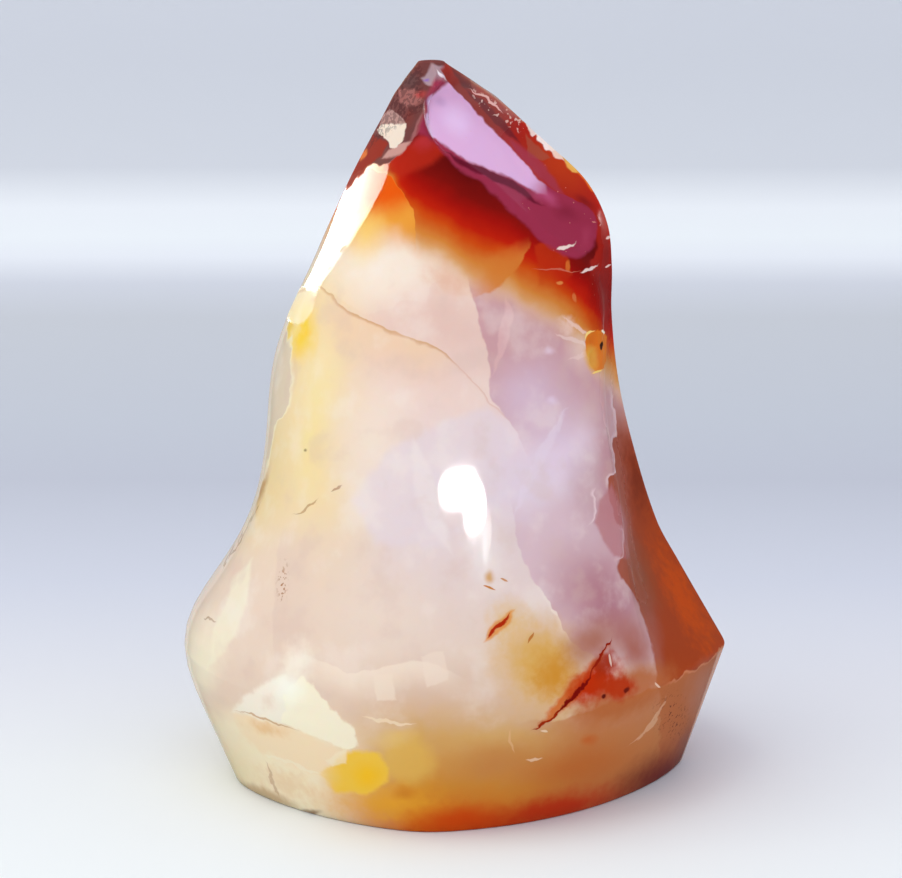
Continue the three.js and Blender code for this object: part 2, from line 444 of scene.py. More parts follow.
@dataclass(frozen=True)
class Section:
    """How the grid of points is laid over the stone.

    Attributes:
        ring_band: Half the height of the close rows about the belly ring, mm.
        foot_rows: Rows between the base and the ring's band.
        ring_rows: Rows in the ring's band.
        body_rows: Rows from there to the cap.
        cap_height: Where the closer rows of the cap start, mm.
        cap_rows: Rows of the cap.
        edge_rows: Rows of the base's rubbed edge, with the row where it ends.
        tip_rows: Rows of the cap that closes the tip, with the rows where it starts and ends.
        crowding: How much closer the columns stand at a ridge, 0 to 1.
        edge_round: How far the edge of the base is rubbed round, mm.
        skin: How far the surface is polished back, so that it stays inside the solid, mm.
        window_steps: Samples across the window over which the surface is worn, with its two ends.
        ring_window: How far the window reaches up and down, in halves of the ring's rounding.
        ridge_window: How far it reaches round the outline, in wears of the ridge.
        window_limit: The most that it reaches, as a share of the narrowest face.
    """

    ring_band: float = 1.6
    foot_rows: int = 32
    ring_rows: int = 14
    body_rows: int = 106
    cap_height: float = 68.0
    cap_rows: int = 100
    edge_rows: int = 5
    tip_rows: int = 6
    crowding: float = 0.72
    edge_round: float = 0.35
    skin: float = 0.12
    window_steps: int = 9
    ring_window: float = 1.6
    ridge_window: float = 1.4
    window_limit: float = 0.45

    def heights(self) -> Array:
        """The height of every row: even runs, after a rubbed edge that rises as 1 less a cosine.

        Returns:
            Heights from the base to the tip, mm.
        """
        low, high = RING_HEIGHT - self.ring_band, RING_HEIGHT + self.ring_band
        edge = self.edge_round * (1 - np.cos(np.linspace(0, pi / 2, self.edge_rows)))[:-1]
        return np.concatenate([
            edge,
            np.linspace(self.edge_round, low, self.foot_rows, endpoint=False),
            np.linspace(low, high, self.ring_rows, endpoint=False),
            np.linspace(high, self.cap_height, self.body_rows, endpoint=False),
            np.linspace(self.cap_height, TIP_HEIGHT, self.cap_rows),
        ])

    def places(self, faces: Sequence[Face]) -> Array:
        """The place of every column: the face's number plus the share of the way along it.

        Within a face the columns crowd towards the ridges: a sine is taken off the even spacing.

        Args:
            faces: The stone's faces in order.

        Returns:
            Places from 0 up to the number of faces.
        """
        runs = []
        for number, face in enumerate(faces):
            even = np.arange(face.columns) / face.columns
            runs.append(number + even - self.crowding * np.sin(2 * pi * even) / (2 * pi))
        return np.concatenate(runs)


@dataclass
class FlameStone:
    """The carving: its worn surface as one closed mesh, dressed in banded chalcedony.

    Attributes:
        faces: The four faces, round from the right to the back.
        chips: The breaks along the crest and at the tip, and the two halves of the pit.
        section: How the grid of points is laid.
        name: The piece's name.
    """

    faces: tuple[Face, ...] = FACES
    chips: tuple[Chip, ...] = CHIPS
    section: Section = field(default_factory=Section)
    name: str = "flame_stone"

    def sharp(self, place: Array, height: Array) -> tuple[Array, Array]:
        """A point of the sharp outline, read from the face that the place lies on.

        Args:
            place: Places round the stone.
            height: Heights in mm.

        Returns:
            x and y in mm.
        """
        place = np.mod(place, len(self.faces))
        number = np.floor(place).astype(int)
        x, y = np.zeros_like(place), np.zeros_like(place)
        for i, face in enumerate(self.faces):
            on = number == i
            x[on], y[on] = face.point(place[on] - i, height[on])
        return x, y

    def marks_at(self, place: Array, height: Array) -> tuple[Array, Array]:
        """How far the surface is worn round, from ridge to ridge by a smooth step, and at the ring.

        Args:
            place: Places round the stone.
            height: Heights in mm.

        Returns:
            The ridges' wear and half the ring's rounding, mm.
        """
        number = np.floor(place).astype(int) % len(self.faces)
        wear, ease = np.zeros_like(place), np.zeros_like(place)
        for i, face in enumerate(self.faces):
            on = number == i
            t = place[on] - i
            start, end = face.start.wear.read(height[on]), face.end.wear.read(height[on])
            wear[on] = start + (end - start) * smoothstep(0.0, 1.0, t)
            ease[on] = face.ring_ease(t)
        return wear, ease

    def step_along(self, place: Array, shift: Array, lengths: Array) -> Array:
        """The place reached from another by going a distance round the outline.

        The distance is turned into a share of the face that the place is on; what goes over the
        face's end is turned into a share of the next face.

        Args:
            place: Places to start from.
            shift: Distances, with a sign, mm.
            lengths: Length of each face at each row, faces first, mm.

        Returns:
            The new places.
        """
        count = len(self.faces)
        number = np.floor(place).astype(int) % count
        own = np.take_along_axis(lengths, number[None], axis=0)[0]
        after = np.take_along_axis(lengths, ((number + 1) % count)[None], axis=0)[0]
        before = np.take_along_axis(lengths, ((number - 1) % count)[None], axis=0)[0]
        t = place - number + shift / own
        t = np.where(t > 1, 1 + (t - 1) * own / after, t)
        t = np.where(t < 0, t * own / before, t)
        return number + t

    def worn(self, place: Array, height: Array) -> Array:
        """The worn surface: the sharp one averaged over a window round the outline and up it.

        The weights are one plus a cosine, so they die out at the window's ends.

        Args:
            place: Places round the stone, rows by columns.
            height: Heights of the same points, mm.

        Returns:
            Points in mm, rows by columns by three.
        """
        lengths = np.stack([face.length(height) for face in self.faces])
        wear, ease = self.marks_at(place, height)
        grid = self.section
        rise = np.minimum(grid.ring_window * ease, np.minimum(height, TIP_HEIGHT - height))
        wear = np.minimum(grid.ridge_window * wear, grid.window_limit * lengths.min(axis=0))
        offsets = np.linspace(-1, 1, grid.window_steps)[1:-1]
        weights = 1 + np.cos(pi * offsets)
        weights /= weights.sum()
        x, y = np.zeros_like(place), np.zeros_like(place)
        for along, along_weight in zip(offsets, weights):
            at = self.step_along(place, along * wear, lengths)
            for up, up_weight in zip(offsets, weights):
                part_x, part_y = self.sharp(at, height + up * rise)
                x += along_weight * up_weight * part_x
                y += along_weight * up_weight * part_y
        return np.stack([x, y, height], axis=-1)

    def surface(self) -> Array:
        """All points of the stone's side, rows by columns by three, mm.

        The base's edge is drawn in by a quarter circle, the whole is drawn in by the skin, and the
        chips are bitten out.

        Returns:
            The points.
        """
        heights = self.section.heights()
        places = self.section.places(self.faces)
        height, place = np.meshgrid(heights, places, indexing="ij")
        points = self.worn(place, height)
        round_edge = self.section.edge_round
        low = np.clip(1 - height / round_edge, 0.0, 1.0)
        inset = self.section.skin + round_edge * (1 - np.sqrt(np.maximum(1 - low * low, 0.0)))
        outline = np.roll(points, -1, axis=1) - np.roll(points, 1, axis=1)
        span = np.maximum(np.hypot(outline[..., 0], outline[..., 1]), TINY)
        points[..., 0] -= inset * outline[..., 1] / span
        points[..., 1] += inset * outline[..., 0] / span
        for chip in self.chips:
            points = chip.bite(points)
        return points

    def cap(self, top: Array) -> Array:
        """Rows that close the tip: the top section shrinks by a cosine as it rises by a sine.

        Args:
            top: The points of the highest row, mm.

        Returns:
            The rows over it, mm.
        """
        turn = np.linspace(0, pi / 2, self.section.tip_rows)[1:-1, None, None]
        middle = top.mean(axis=0)
        rows = middle + (top - middle) * np.cos(turn)
        rows[..., 2] = top[..., 2] + POINT_RISE * np.sin(turn[..., 0])
        return rows

    def build(self) -> bpy.types.Object:
        """Builds the closed mesh: quads round the side and the tip, a fan over the tip and the base.

        Returns:
            The stone's object, at the origin.
        """
        side = self.surface()
        side = np.concatenate([side, self.cap(side[-1])])
        rows, columns = side.shape[:2]
        base_middle = np.array([[*side[0, :, :2].mean(axis=0), 0.0]])
        top_middle = np.array([[*side[-1, :, :2].mean(axis=0), TIP_HEIGHT + POINT_RISE]])
        points = np.concatenate([side.reshape(-1, 3), base_middle, top_middle]) * MM

        column = np.arange(columns)
        after = (column + 1) % columns
        row = np.arange(rows - 1)[:, None] * columns
        above = row + columns
        quads = np.stack([row + column, row + after, above + after, above + column], axis=-1)
        last = (rows - 1) * columns
        base_fan = np.stack([np.full(columns, rows * columns), after, column], axis=-1)
        top_fan = np.stack([last + column, last + after, np.full(columns, rows * columns + 1)], axis=-1)

        mesh = bpy.data.meshes.new(self.name)
        corners = np.concatenate([quads.reshape(-1), base_fan.reshape(-1), top_fan.reshape(-1)])
        counts = np.concatenate([np.full(quads.size // 4, 4), np.full(2 * columns, 3)])
        mesh.vertices.add(len(points))
        mesh.vertices.foreach_set("co", points.astype(np.float32).reshape(-1))
        mesh.loops.add(len(corners))
        mesh.loops.foreach_set("vertex_index", corners.astype(np.int32))
        mesh.polygons.add(len(counts))
        starts = np.concatenate([[0], np.cumsum(counts)[:-1]])
        mesh.polygons.foreach_set("loop_start", starts.astype(np.int32))
        mesh.polygons.foreach_set("use_smooth", np.ones(len(counts), bool))
        mesh.update(calc_edges=True)
        mesh.validate()

        stone = bpy.data.objects.new(self.name, mesh)
        bpy.context.scene.collection.objects.link(stone)
        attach(stone, "root")
        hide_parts("flame_carving")
        return stone

    def dress(self, stone: bpy.types.Object) -> None:
        """Gives each region of the stone its chalcedony, one for the front and one for the rest.

        A face belongs to the region in whose rows its middle lies: the middle less the aim, up the
        frame, over its depth. It is a front one if the normals at all its corners point to the
        viewer, unless the region is thin.

        Args:
            stone: The stone's object.
        """
        mesh = stone.data
        offset = gathered(mesh.polygons, "center", 3) - np.array(AIM_MM) * MM
        depth = offset @ np.array(SIGHT) + CAMERA_DISTANCE_MM * MM
        rows = FRAME_HEIGHT / 2 - FOCUS * (offset @ np.array(SIGHT_UP)) / depth
        number = np.searchsorted([region.bottom for region in REGIONS[:-1]], rows)
        away = gathered(mesh.vertex_normals, "vector", 3) @ np.array(SIGHT)
        corners = gathered(mesh.loops, "vertex_index").astype(int)
        starts = gathered(mesh.polygons, "loop_start").astype(int)
        thin = np.array([region.thin for region in REGIONS])
        turned = (np.maximum.reduceat(away[corners], starts) >= 0.0) | thin[number]
        kinds = [(side, region) for side in Side for region in REGIONS]
        used, slots = np.unique(np.where(turned, number + len(REGIONS), number), return_inverse=True)
        for kind in used:
            side, region = kinds[kind]
            mesh.materials.append(Chalcedony(region, side).material())
        mesh.polygons.foreach_set("material_index", slots.astype(np.int32))


class Wire:
    """A shader socket that takes part in Python expressions. Each operator adds its Math node."""

    def __init__(self, board: "Board", socket: bpy.types.NodeSocket) -> None:
        """Keeps the socket and the board that it is on."""
        self.board = board
        self.socket = socket

    def __add__(self, other: "Wire | float") -> "Wire":
        """This plus the other."""
        return self.board.math("ADD", self, other)

    def __radd__(self, other: float) -> "Wire":
        """A number plus this."""
        return self.board.math("ADD", other, self)

    def __sub__(self, other: "Wire | float") -> "Wire":
        """This less the other."""
        return self.board.math("SUBTRACT", self, other)

    def __rsub__(self, other: float) -> "Wire":
        """A number less this."""
        return self.board.math("SUBTRACT", other, self)

    def __mul__(self, other: "Wire | float") -> "Wire":
        """This times the other."""
        return self.board.math("MULTIPLY", self, other)

    def __rmul__(self, other: float) -> "Wire":
        """A number times this."""
        return self.board.math("MULTIPLY", other, self)

    def __truediv__(self, other: "Wire | float") -> "Wire":
        """This over the other."""
        return self.board.math("DIVIDE", self, other)

    def __rtruediv__(self, other: float) -> "Wire":
        """A number over this."""
        return self.board.math("DIVIDE", other, self)

    def __abs__(self) -> "Wire":
        """This without its sign."""
        return self.board.math("ABSOLUTE", self)

    def at_most(self, other: "Wire | float") -> "Wire":
        """The smaller of this and the other."""
        return self.board.math("MINIMUM", self, other)


class Stops(tuple):
    """Stops of a colour ramp: (position, colour) pairs."""

    def apply(self, node: bpy.types.ShaderNodeValToRGB) -> None:
        """Sets the ramp's stops.

        Args:
            node: The colour ramp.
        """
        ramp = node.color_ramp
        while len(ramp.elements) > 1:
            ramp.elements.remove(ramp.elements[-1])
        ramp.elements[0].position, ramp.elements[0].color = self[0]
        for position, colour in self[1:]:
            ramp.elements.new(position).color = colour


class Bend(tuple):
    """Points of a float curve: (across, height) pairs, each 0 to 1."""

    def apply(self, node: bpy.types.ShaderNodeFloatCurve) -> None:
        """Sets the curve's points.

        Args:
            node: The float curve.
        """
        line = node.mapping.curves[0]
        line.points[0].location, line.points[1].location = self[0], self[-1]
        for point in self[1:-1]:
            line.points.new(*point)
        node.mapping.update()


class Board:
    """The node tree of a material or of the world, with one method for each kind of step."""

    def __init__(self, owner: bpy.types.Material | bpy.types.World, end: str = "Material") -> None:
        """Clears the owner's nodes, but for a new output.

        Args:
            owner: The material or the world.
            end: The kind of its output, Material or World.
        """
        owner.use_nodes = True
        self.owner = owner
        self.tree = owner.node_tree
        self.tree.nodes.clear()
        self.output = self.tree.nodes.new(f"ShaderNodeOutput{end}")

    def node(
        self,
        kind: str,
        settings: dict[str, Any] | None = None,
        sockets: dict[str | int, Any] | None = None,
        output: str | int = 0,
    ) -> Wire:
        """Adds a node.

        Args:
            kind: The node's type, less the words that all types start with.
            settings: What is set on the node first: its operation, or a ramp's or curve's points.
            sockets: Values or links of its inputs, by name or number.
            output: Which output is handed back.

        Returns:
            The output as a wire.
        """
        made = self.tree.nodes.new(f"ShaderNode{kind}")
        for name, value in (settings or {}).items():
            if isinstance(value, (Stops, Bend)):
                value.apply(made)
            else:
                setattr(made, name, value)
        for key, value in (sockets or {}).items():
            if isinstance(value, Wire):
                self.tree.links.new(value.socket, made.inputs[key])
            else:
                made.inputs[key].default_value = value
        return Wire(self, made.outputs[output])

    def math(self, operation: str, *values: Wire | float) -> Wire:
        """A Math node on up to three values."""
        return self.node("Math", {"operation": operation}, dict(enumerate(values)))

    def vector(self, operation: str, *values: Wire | Triple, output: str | int = 0) -> Wire:
        """A Vector Math node on up to three vectors."""
        return self.node("VectorMath", {"operation": operation}, dict(enumerate(values)), output)

    def dot(self, vector: Wire, weights: Triple) -> Wire:
        """The dot product of a vector and three fixed weights."""
        return self.vector("DOT_PRODUCT", vector, weights, output="Value")

    def smooth(self, value: Wire, low: float, high: float) -> Wire:
        """0 where the value is at low, 1 where it is at high, level at both ends."""
        return self.node(
            "MapRange",
            {"interpolation_type": "SMOOTHSTEP"},
            {"Value": value, "From Min": low, "From Max": high},
        )

    def mix(self, under: Any, over: Any, share: Wire | float) -> Wire:
        """One colour laid over another by a share."""
        return self.node(
            "Mix",
            {"data_type": "RGBA", "clamp_factor": True},
            {0: share, 6: under, 7: over},
            output=2,
        )

    def parts(self, vector: Wire) -> list[Wire]:
        """The three numbers of a vector."""
        made = self.node("SeparateXYZ", None, {0: vector})
        return [Wire(self, output) for output in made.socket.node.outputs]

    def noise(self, place: Wire, scale: float, detail: float = 2.0, output: str = "Fac") -> Wire:
        """Cloudy noise. Scale counts its clouds to a unit of the place."""
        return self.node(
            "TexNoise", None, {"Vector": place, "Scale": scale, "Detail": detail}, output
        )

    def finish(self, kind: str, **values: Any) -> None:
        """Joins a shader to the output. Underscores in its inputs' names stand for spaces."""
        shader = self.node(kind, None, {name.replace("_", " "): value for name, value in values.items()})
        self.tree.links.new(shader.socket, self.output.inputs["Surface"])


@dataclass(frozen=True)
class Sheet:
    """A place of the stone as its markings read it.

    Attributes:
        board: The material.
        place: Object coordinates, m.
        spot: The place on the sheet as the vector (across, down, 1), px.
        across: How far across the sheet it lies, px.
        down: How far down the sheet it lies, px.
        grain: Fine noise, 0 to 1, that makes lines ragged.
        specks: Finer noise, 0 to 1, whose heights are specks.
        milk: Coarse noise, 0 to 1, for the wisps in the stone.
    """

    board: Board
    place: Wire
    spot: Wire
    across: Wire
    down: Wire
    grain: Wire
    specks: Wire
    milk: Wire

    def torn(self, far: Wire, amount: float) -> Wire:
        """Makes a distance ragged: adds 4 amounts times the fine noise, less 2 amounts."""
        shift = 4.0 * amount
        return self.board.math("MULTIPLY_ADD", self.grain, shift, far - shift / 2) if amount else far

    def past(self, point: Array, way: Array) -> Wire:
        """How far past a point along a way a place lies, times the way's length: a dot product."""
        return self.board.dot(self.spot, (way[0], way[1], -float(point @ way)))


class Run(Enum):
    """Which way a bent line runs on the sheet."""

    DOWN = "down"
    ACROSS = "across"


# Rows of the sheet without end, px
EVERYWHERE = (-1e6, 1e6)
# A line that leans less than this from upright bounds no rows
LEAST_SLOPE = 0.2
# The share of a stroke's width over which its sides fade in
STROKE_EDGE = 0.5


class Shape:
    """What bounds a marking on the sheet. Each kind of shape is a dataclass of its own."""

    def span(self) -> Pair:
        """The rows of the sheet that it reaches, px: all of them, unless its kind says less."""
        return EVERYWHERE

    def mask(self, sheet: Sheet) -> Wire:
        """How much of it lies at a place of the sheet, 0 to 1."""
        raise NotImplementedError


@dataclass(frozen=True)
class Cloud(Shape):
    """An ellipse on the sheet: 1 inside, 0 outside.

    Attributes:
        middle: Its middle, px.
        reach: Half its width and half its height, px.
        turn: How far it is turned, degrees, clockwise as the viewer sees it.
        edge: Share of the reach over which it fades in from its rim.
        torn: How far its rim is torn, as a share of its reach.
    """

    middle: Pair
    reach: Pair
    turn: float = 0.0
    edge: float = 1.0
    torn: float = 0.0

    def span(self) -> Pair:
        """The rows of the sheet that it reaches, px."""
        half = max(self.reach) if self.turn else self.reach[1]
        return self.middle[1] - half, self.middle[1] + half

    def mask(self, sheet: Sheet) -> Wire:
        """The distance from the middle in the ellipse's own measure, faded in from 1.

        Args:
            sheet: The place on the sheet.

        Returns:
            The share of it there.
        """
        board = sheet.board
        (x, y), (wide, high) = self.middle, self.reach
        if self.turn:
            c, s = cos(radians(self.turn)), sin(radians(self.turn))
            along = sheet.past(np.array((x, y)), np.array((c, s)) / wide)
            beside = sheet.past(np.array((x, y)), np.array((-s, c)) / high)
            far = board.math("SQRT", board.math("MULTIPLY_ADD", along, along, beside * beside))
        else:
            scale, start = (1 / wide, 1 / high, 0.0), (-x / wide, -y / high, 0.0)
            local = board.vector("MULTIPLY_ADD", sheet.spot, scale, start)
            far = board.vector("LENGTH", local, output="Value")
        return board.smooth(sheet.torn(far, self.torn), 1.0, 1.0 - self.edge)


@dataclass(frozen=True)
class Fade(Shape):
    """Half of the sheet, with a soft edge.

    Attributes:
        gone: Where it is still 0, px.
        full: Where it has risen to 1, px.
    """

    gone: Pair
    full: Pair

    def span(self) -> Pair:
        """The rows of the sheet on the full side of the line where it starts.

        Returns:
            The upper and the lower row, px.
        """
        slope_x, slope_y = self.full[0] - self.gone[0], self.full[1] - self.gone[1]
        if abs(slope_y) < abs(slope_x) * LEAST_SLOPE:
            return EVERYWHERE
        rows = [self.gone[1] - slope_x * (x - self.gone[0]) / slope_y for x in STONE_ACROSS]
        return (EVERYWHERE[0], max(rows)) if slope_y < 0 else (min(rows), EVERYWHERE[1])

    def mask(self, sheet: Sheet) -> Wire:
        """How far along the line between the two places, by a dot product."""
        start, way = np.array(self.gone, float), np.subtract(self.full, self.gone, dtype=float)
        return sheet.board.smooth(sheet.past(start, way / (way @ way)), 0.0, 1.0)


@dataclass(frozen=True)
class Flake(Shape):
    """A shape with straight sides and no inward corners: 1 inside, 0 outside.

    Attributes:
        corners: Its corners in order, px.
        edge: Width of its edge, px.
        torn: How far its edge is torn, px.
    """

    corners: tuple[Pair, ...]
    edge: float = 3.0
    torn: float = 0.0

    def span(self) -> Pair:
        """The rows of the sheet that it reaches, px."""
        rows = [row for _, row in self.corners]
        return min(rows) - self.edge, max(rows) + self.edge

    def mask(self, sheet: Sheet) -> Wire:
        """The least distance to a side, each by a dot product, faded over the edge.

        Args:
            sheet: The place on the sheet.

        Returns:
            The share of it there.
        """
        points = np.array(self.corners, float)
        sides = np.roll(points, -1, axis=0) - points
        inward = np.stack([-sides[:, 1], sides[:, 0]], axis=1)
        inward /= np.linalg.norm(inward, axis=1, keepdims=True)
        inward *= np.sign(((points.mean(axis=0) - points) * inward).sum(axis=1))[:, None]
        least: Wire | None = None
        for point, normal in zip(points, inward):
            far = sheet.past(point, normal)
            least = far if least is None else least.at_most(far)
        return sheet.board.smooth(sheet.torn(least, self.torn), -self.edge / 2, self.edge / 2)


@dataclass(frozen=True)
class Border(Shape):
    """The part of the sheet past a bent line: right of it, or under it.

    Attributes:
        line: Points of the line. They are (down, across) where it runs down the sheet and
            (across, down) where it runs across, px.
        run: Which way the line runs.
        edge: Width of the edge, px.
        flipped: Whether the other side is meant.
    """

    line: tuple[Pair, ...]
    run: Run = Run.DOWN
    edge: float = 3.0
    flipped: bool = False

    def rows(self) -> Pair:
        """The rows of the sheet between which the line runs, px."""
        rows = [row for _, row in self.line]
        return min(rows), max(rows)

    def span(self) -> Pair:
        """The rows of the sheet that it reaches.

        Returns:
            The upper and the lower row, px.
        """
        if self.run is Run.DOWN:
            return EVERYWHERE
        low, high = self.rows()
        return (EVERYWHERE[0], high + self.edge) if self.flipped else (low - self.edge, EVERYWHERE[1])

    def past(self, sheet: Sheet) -> Wire:
        """How far past the line a place lies, by a float curve over the line's run.

        Args:
            sheet: The place on the sheet.

        Returns:
            The distance, px, below 0 before the line.
        """
        board = sheet.board
        points = np.array(self.line, float)
        low, high = points.min(axis=0), points.max(axis=0)
        down = self.run is Run.DOWN
        along, beside = (sheet.down, sheet.across) if down else (sheet.across, sheet.down)
        share = board.node(
            "MapRange", None, {"Value": along, "From Min": low[0], "From Max": high[0]}
        )
        bend = Bend(((points - low) / (high - low)).tolist())
        height = board.node("FloatCurve", {"bend": bend}, {"Value": share})
        return board.math("MULTIPLY_ADD", height, float(low[1] - high[1]), beside - float(low[1]))

    def mask(self, sheet: Sheet) -> Wire:
        """The distance past the line, faded over the edge."""
        half = -self.edge / 2 if self.flipped else self.edge / 2
        return sheet.board.smooth(self.past(sheet), -half, half)


@dataclass(frozen=True)
class Band(Shape):
    """A band along a bent line.

    Attributes:
        border: The line.
        before: Width of the band's fade on the near side, px.
        after: Width of its fade on the far side, px.
    """

    border: Border
    before: float = 2.0
    after: float = 2.0

    def span(self) -> Pair:
        """The rows of the sheet that it reaches, px."""
        low, high = self.border.rows()
        return EVERYWHERE if self.border.run is Run.DOWN else (low - self.before, high + self.after)

    def mask(self, sheet: Sheet) -> Wire:
        """Rises up to the line and falls past it."""
        past = self.border.past(sheet)
        return sheet.board.smooth(past, -self.before, 0.0) * sheet.board.smooth(past, self.after, 0.0)


@dataclass(frozen=True)
class Stroke(Shape):
    """A crack or a streak: a line that is widest in its middle and runs out at both ends.

    Attributes:
        start: One end, px.
        end: The other end, px.
        width: Half its width in the middle, px.
        bow: How far its middle is bent to the side, px.
        ragged: How far its line wanders, px.
    """

    start: Pair
    end: Pair
    width: float = 1.5
    bow: float = 0.0
    ragged: float = 0.0

    def span(self) -> Pair:
        """The rows of the sheet that it reaches, px."""
        more = self.width + abs(self.bow) + self.ragged
        return min(self.start[1], self.end[1]) - more, max(self.start[1], self.end[1]) + more

    def mask(self, sheet: Sheet) -> Wire:
        """Half width times 1 less the square of the share, less the distance to the line.

        Args:
            sheet: The place on the sheet.

        Returns:
            The share of it there.
        """
        board = sheet.board
        start, end = np.array(self.start, float), np.array(self.end, float)
        middle, half = (start + end) / 2, (end - start) / 2
        way = half / np.hypot(*half)
        side = np.array((-way[1], way[0]))
        along = sheet.past(middle, half / (half @ half))
        beside = sheet.past(middle + self.ragged * side, side)
        taper = 1.0 - along * along
        if self.bow:
            beside = board.math("MULTIPLY_ADD", taper, -self.bow, beside)
        if self.ragged:
            beside = board.math("MULTIPLY_ADD", sheet.grain, 2.0 * self.ragged, beside)
        room = board.math("MULTIPLY_ADD", taper, self.width, 0.0 - abs(beside))
        return board.smooth(room, 0.0, self.width * STROKE_EDGE)


@dataclass(frozen=True)
class Specks(Shape):
    """Small grains strewn over the stone, at the heights of a fine noise.

    Attributes:
        level: How high the noise stands where a grain starts, 0 to 1.
        edge: How much higher it stands where the grain is full.
    """

    level: float
    edge: float = 0.04

    def mask(self, sheet: Sheet) -> Wire:
        """The highest parts of the noise."""
        return sheet.board.smooth(sheet.specks, self.level, self.level + self.edge)


@dataclass(frozen=True)
class Wisps(Shape):
    """Wisps all over the stone, where a coarse noise lies past a height.

    Attributes:
        gone: Height of the noise where a wisp starts, 0 to 1.
        full: Height where it is full.
    """

    gone: float
    full: float

    def mask(self, sheet: Sheet) -> Wire:
        """The coarse noise, faded between the two heights."""
        return sheet.board.smooth(sheet.milk, self.gone, self.full)


@dataclass(frozen=True)
class Drift(Shape):
    """A cloud or a veil of the back, where a noise of its own lies between two heights.

    Attributes:
        offset: Where in the noise it is read, m.
        clouds: Clouds of noise to a metre.
        rise: Heights of the noise between which it comes in.
        fall: Heights of the noise between which it goes out again.
    """

    offset: Triple
    clouds: float
    rise: Pair
    fall: Pair = (2.0, 3.0)

    def mask(self, sheet: Sheet) -> Wire:
        """The noise at the shifted place, faded in over its rise and out over its fall.

        Args:
            sheet: The place on the sheet.

        Returns:
            The share of it there.
        """
        board = sheet.board
        moved = board.node("Mapping", None, {"Vector": sheet.place, "Location": self.offset})
        noise = board.noise(moved, self.clouds, 3.0)
        return board.smooth(noise, *self.rise) * board.smooth(noise, *reversed(self.fall))


@dataclass(frozen=True)
class Mark:
    """One marking of the stone: a colour laid on where all of its shapes meet.

    Attributes:
        name: What it is, in plain words.
        colour: Its colour as the eye reads it, 0 to 255.
        shapes: The shapes that bound it.
        strength: How strongly it covers what lies under it.
        rough: How rough its surface is, or None where it is polished like its neighbours.
    """

    name: str
    colour: Triple
    shapes: tuple[Shape, ...]
    strength: float
    rough: float | None

    def reaches(self, top: float, bottom: float) -> bool:
        """Whether it shows anywhere between two rows of the sheet."""
        spans = [shape.span() for shape in self.shapes]
        return max(low for low, _ in spans) < bottom and min(high for _, high in spans) > top

    def share(self, sheet: Sheet) -> Wire:
        """Where all the shapes meet: their masks multiplied.

        Args:
            sheet: The place on the sheet.

        Returns:
            The share of the marking there, 0 to 1.
        """
        first, *others = (shape.mask(sheet) for shape in self.shapes)
        for mask in others:
            first = first * mask
        return first

    def lay(self, sheet: Sheet, paint: Wire, rough: Wire) -> tuple[Wire, Wire]:
        """Lays the marking over a colour and a roughness.

        Args:
            sheet: The place on the sheet.
            paint: The colour under it.
            rough: The roughness under it.

        Returns:
            The colour and the roughness with the marking on them.
        """
        share = self.share(sheet)
        if self.rough is not None:
            rough = rough + share * (self.rough - POLISH)
        if self.strength != 1.0:
            share = share * self.strength
        return sheet.board.mix(paint, tint(*self.colour), share), rough


def mark(name: str, colour: Triple, strength: float, *shapes: Shape, rough: float | None = None) -> Mark:
    """A marking, with its shapes written one after the other."""
    return Mark(name, colour, shapes, strength, rough)


@dataclass(frozen=True)
class Bands:
    """Colours that follow one another along a number.

    Attributes:
        stops: Tuples of the number and the colour there, 0 to 255.
    """

    stops: tuple[tuple[float, Triple], ...]

    def colour(self, board: Board, value: Wire) -> Wire:
        """The colour at a value, by a colour ramp from the first stop to the last.

        Args:
            board: The material.
            value: The number that the colours follow.

        Returns:
            The colour.
        """
        first, last = self.stops[0][0], self.stops[-1][0]
        ramp = Stops(((at - first) / (last - first), tint(*colour)) for at, colour in self.stops)
        share = (value - first) / (last - first)
        return board.node("ValToRGB", {"stops": ramp}, {"Fac": share})


# Roughness of the polish
POLISH = 0.05

# The milky body from the cap to the foot, by the place down the sheet
BODY_BANDS = Bands((
    (200, (240, 222, 205)), (290, (240, 216, 202)), (330, (232, 202, 190)),
    (400, (239, 214, 203)), (470, (233, 216, 215)), (560, (232, 214, 210)),
    (650, (234, 213, 197)), (695, (224, 195, 172)), (735, (217, 172, 108)),
    (785, (211, 144, 54)), (835, (206, 84, 14)),
))

# The cap, by the distance under its edge, from its dark heart to where it thins out, px
CAP_BANDS = Bands((
    (-82, (104, 9, 7)), (-60, (130, 13, 7)), (-44, (166, 15, 6)), (-29, (192, 30, 6)),
    (-17, (205, 76, 14)), (-7, (208, 108, 38)), (2, (213, 134, 58)), (12, (218, 160, 100)),
    (24, (227, 186, 146)),
))
CAP_EDGE = (
    (340, 150), (385, 172), (405, 215), (420, 229), (435, 236), (450, 245), (465, 256), (480, 263),
    (510, 274), (525, 285), (540, 293), (555, 302), (570, 315), (585, 330), (600, 350), (620, 372),
)

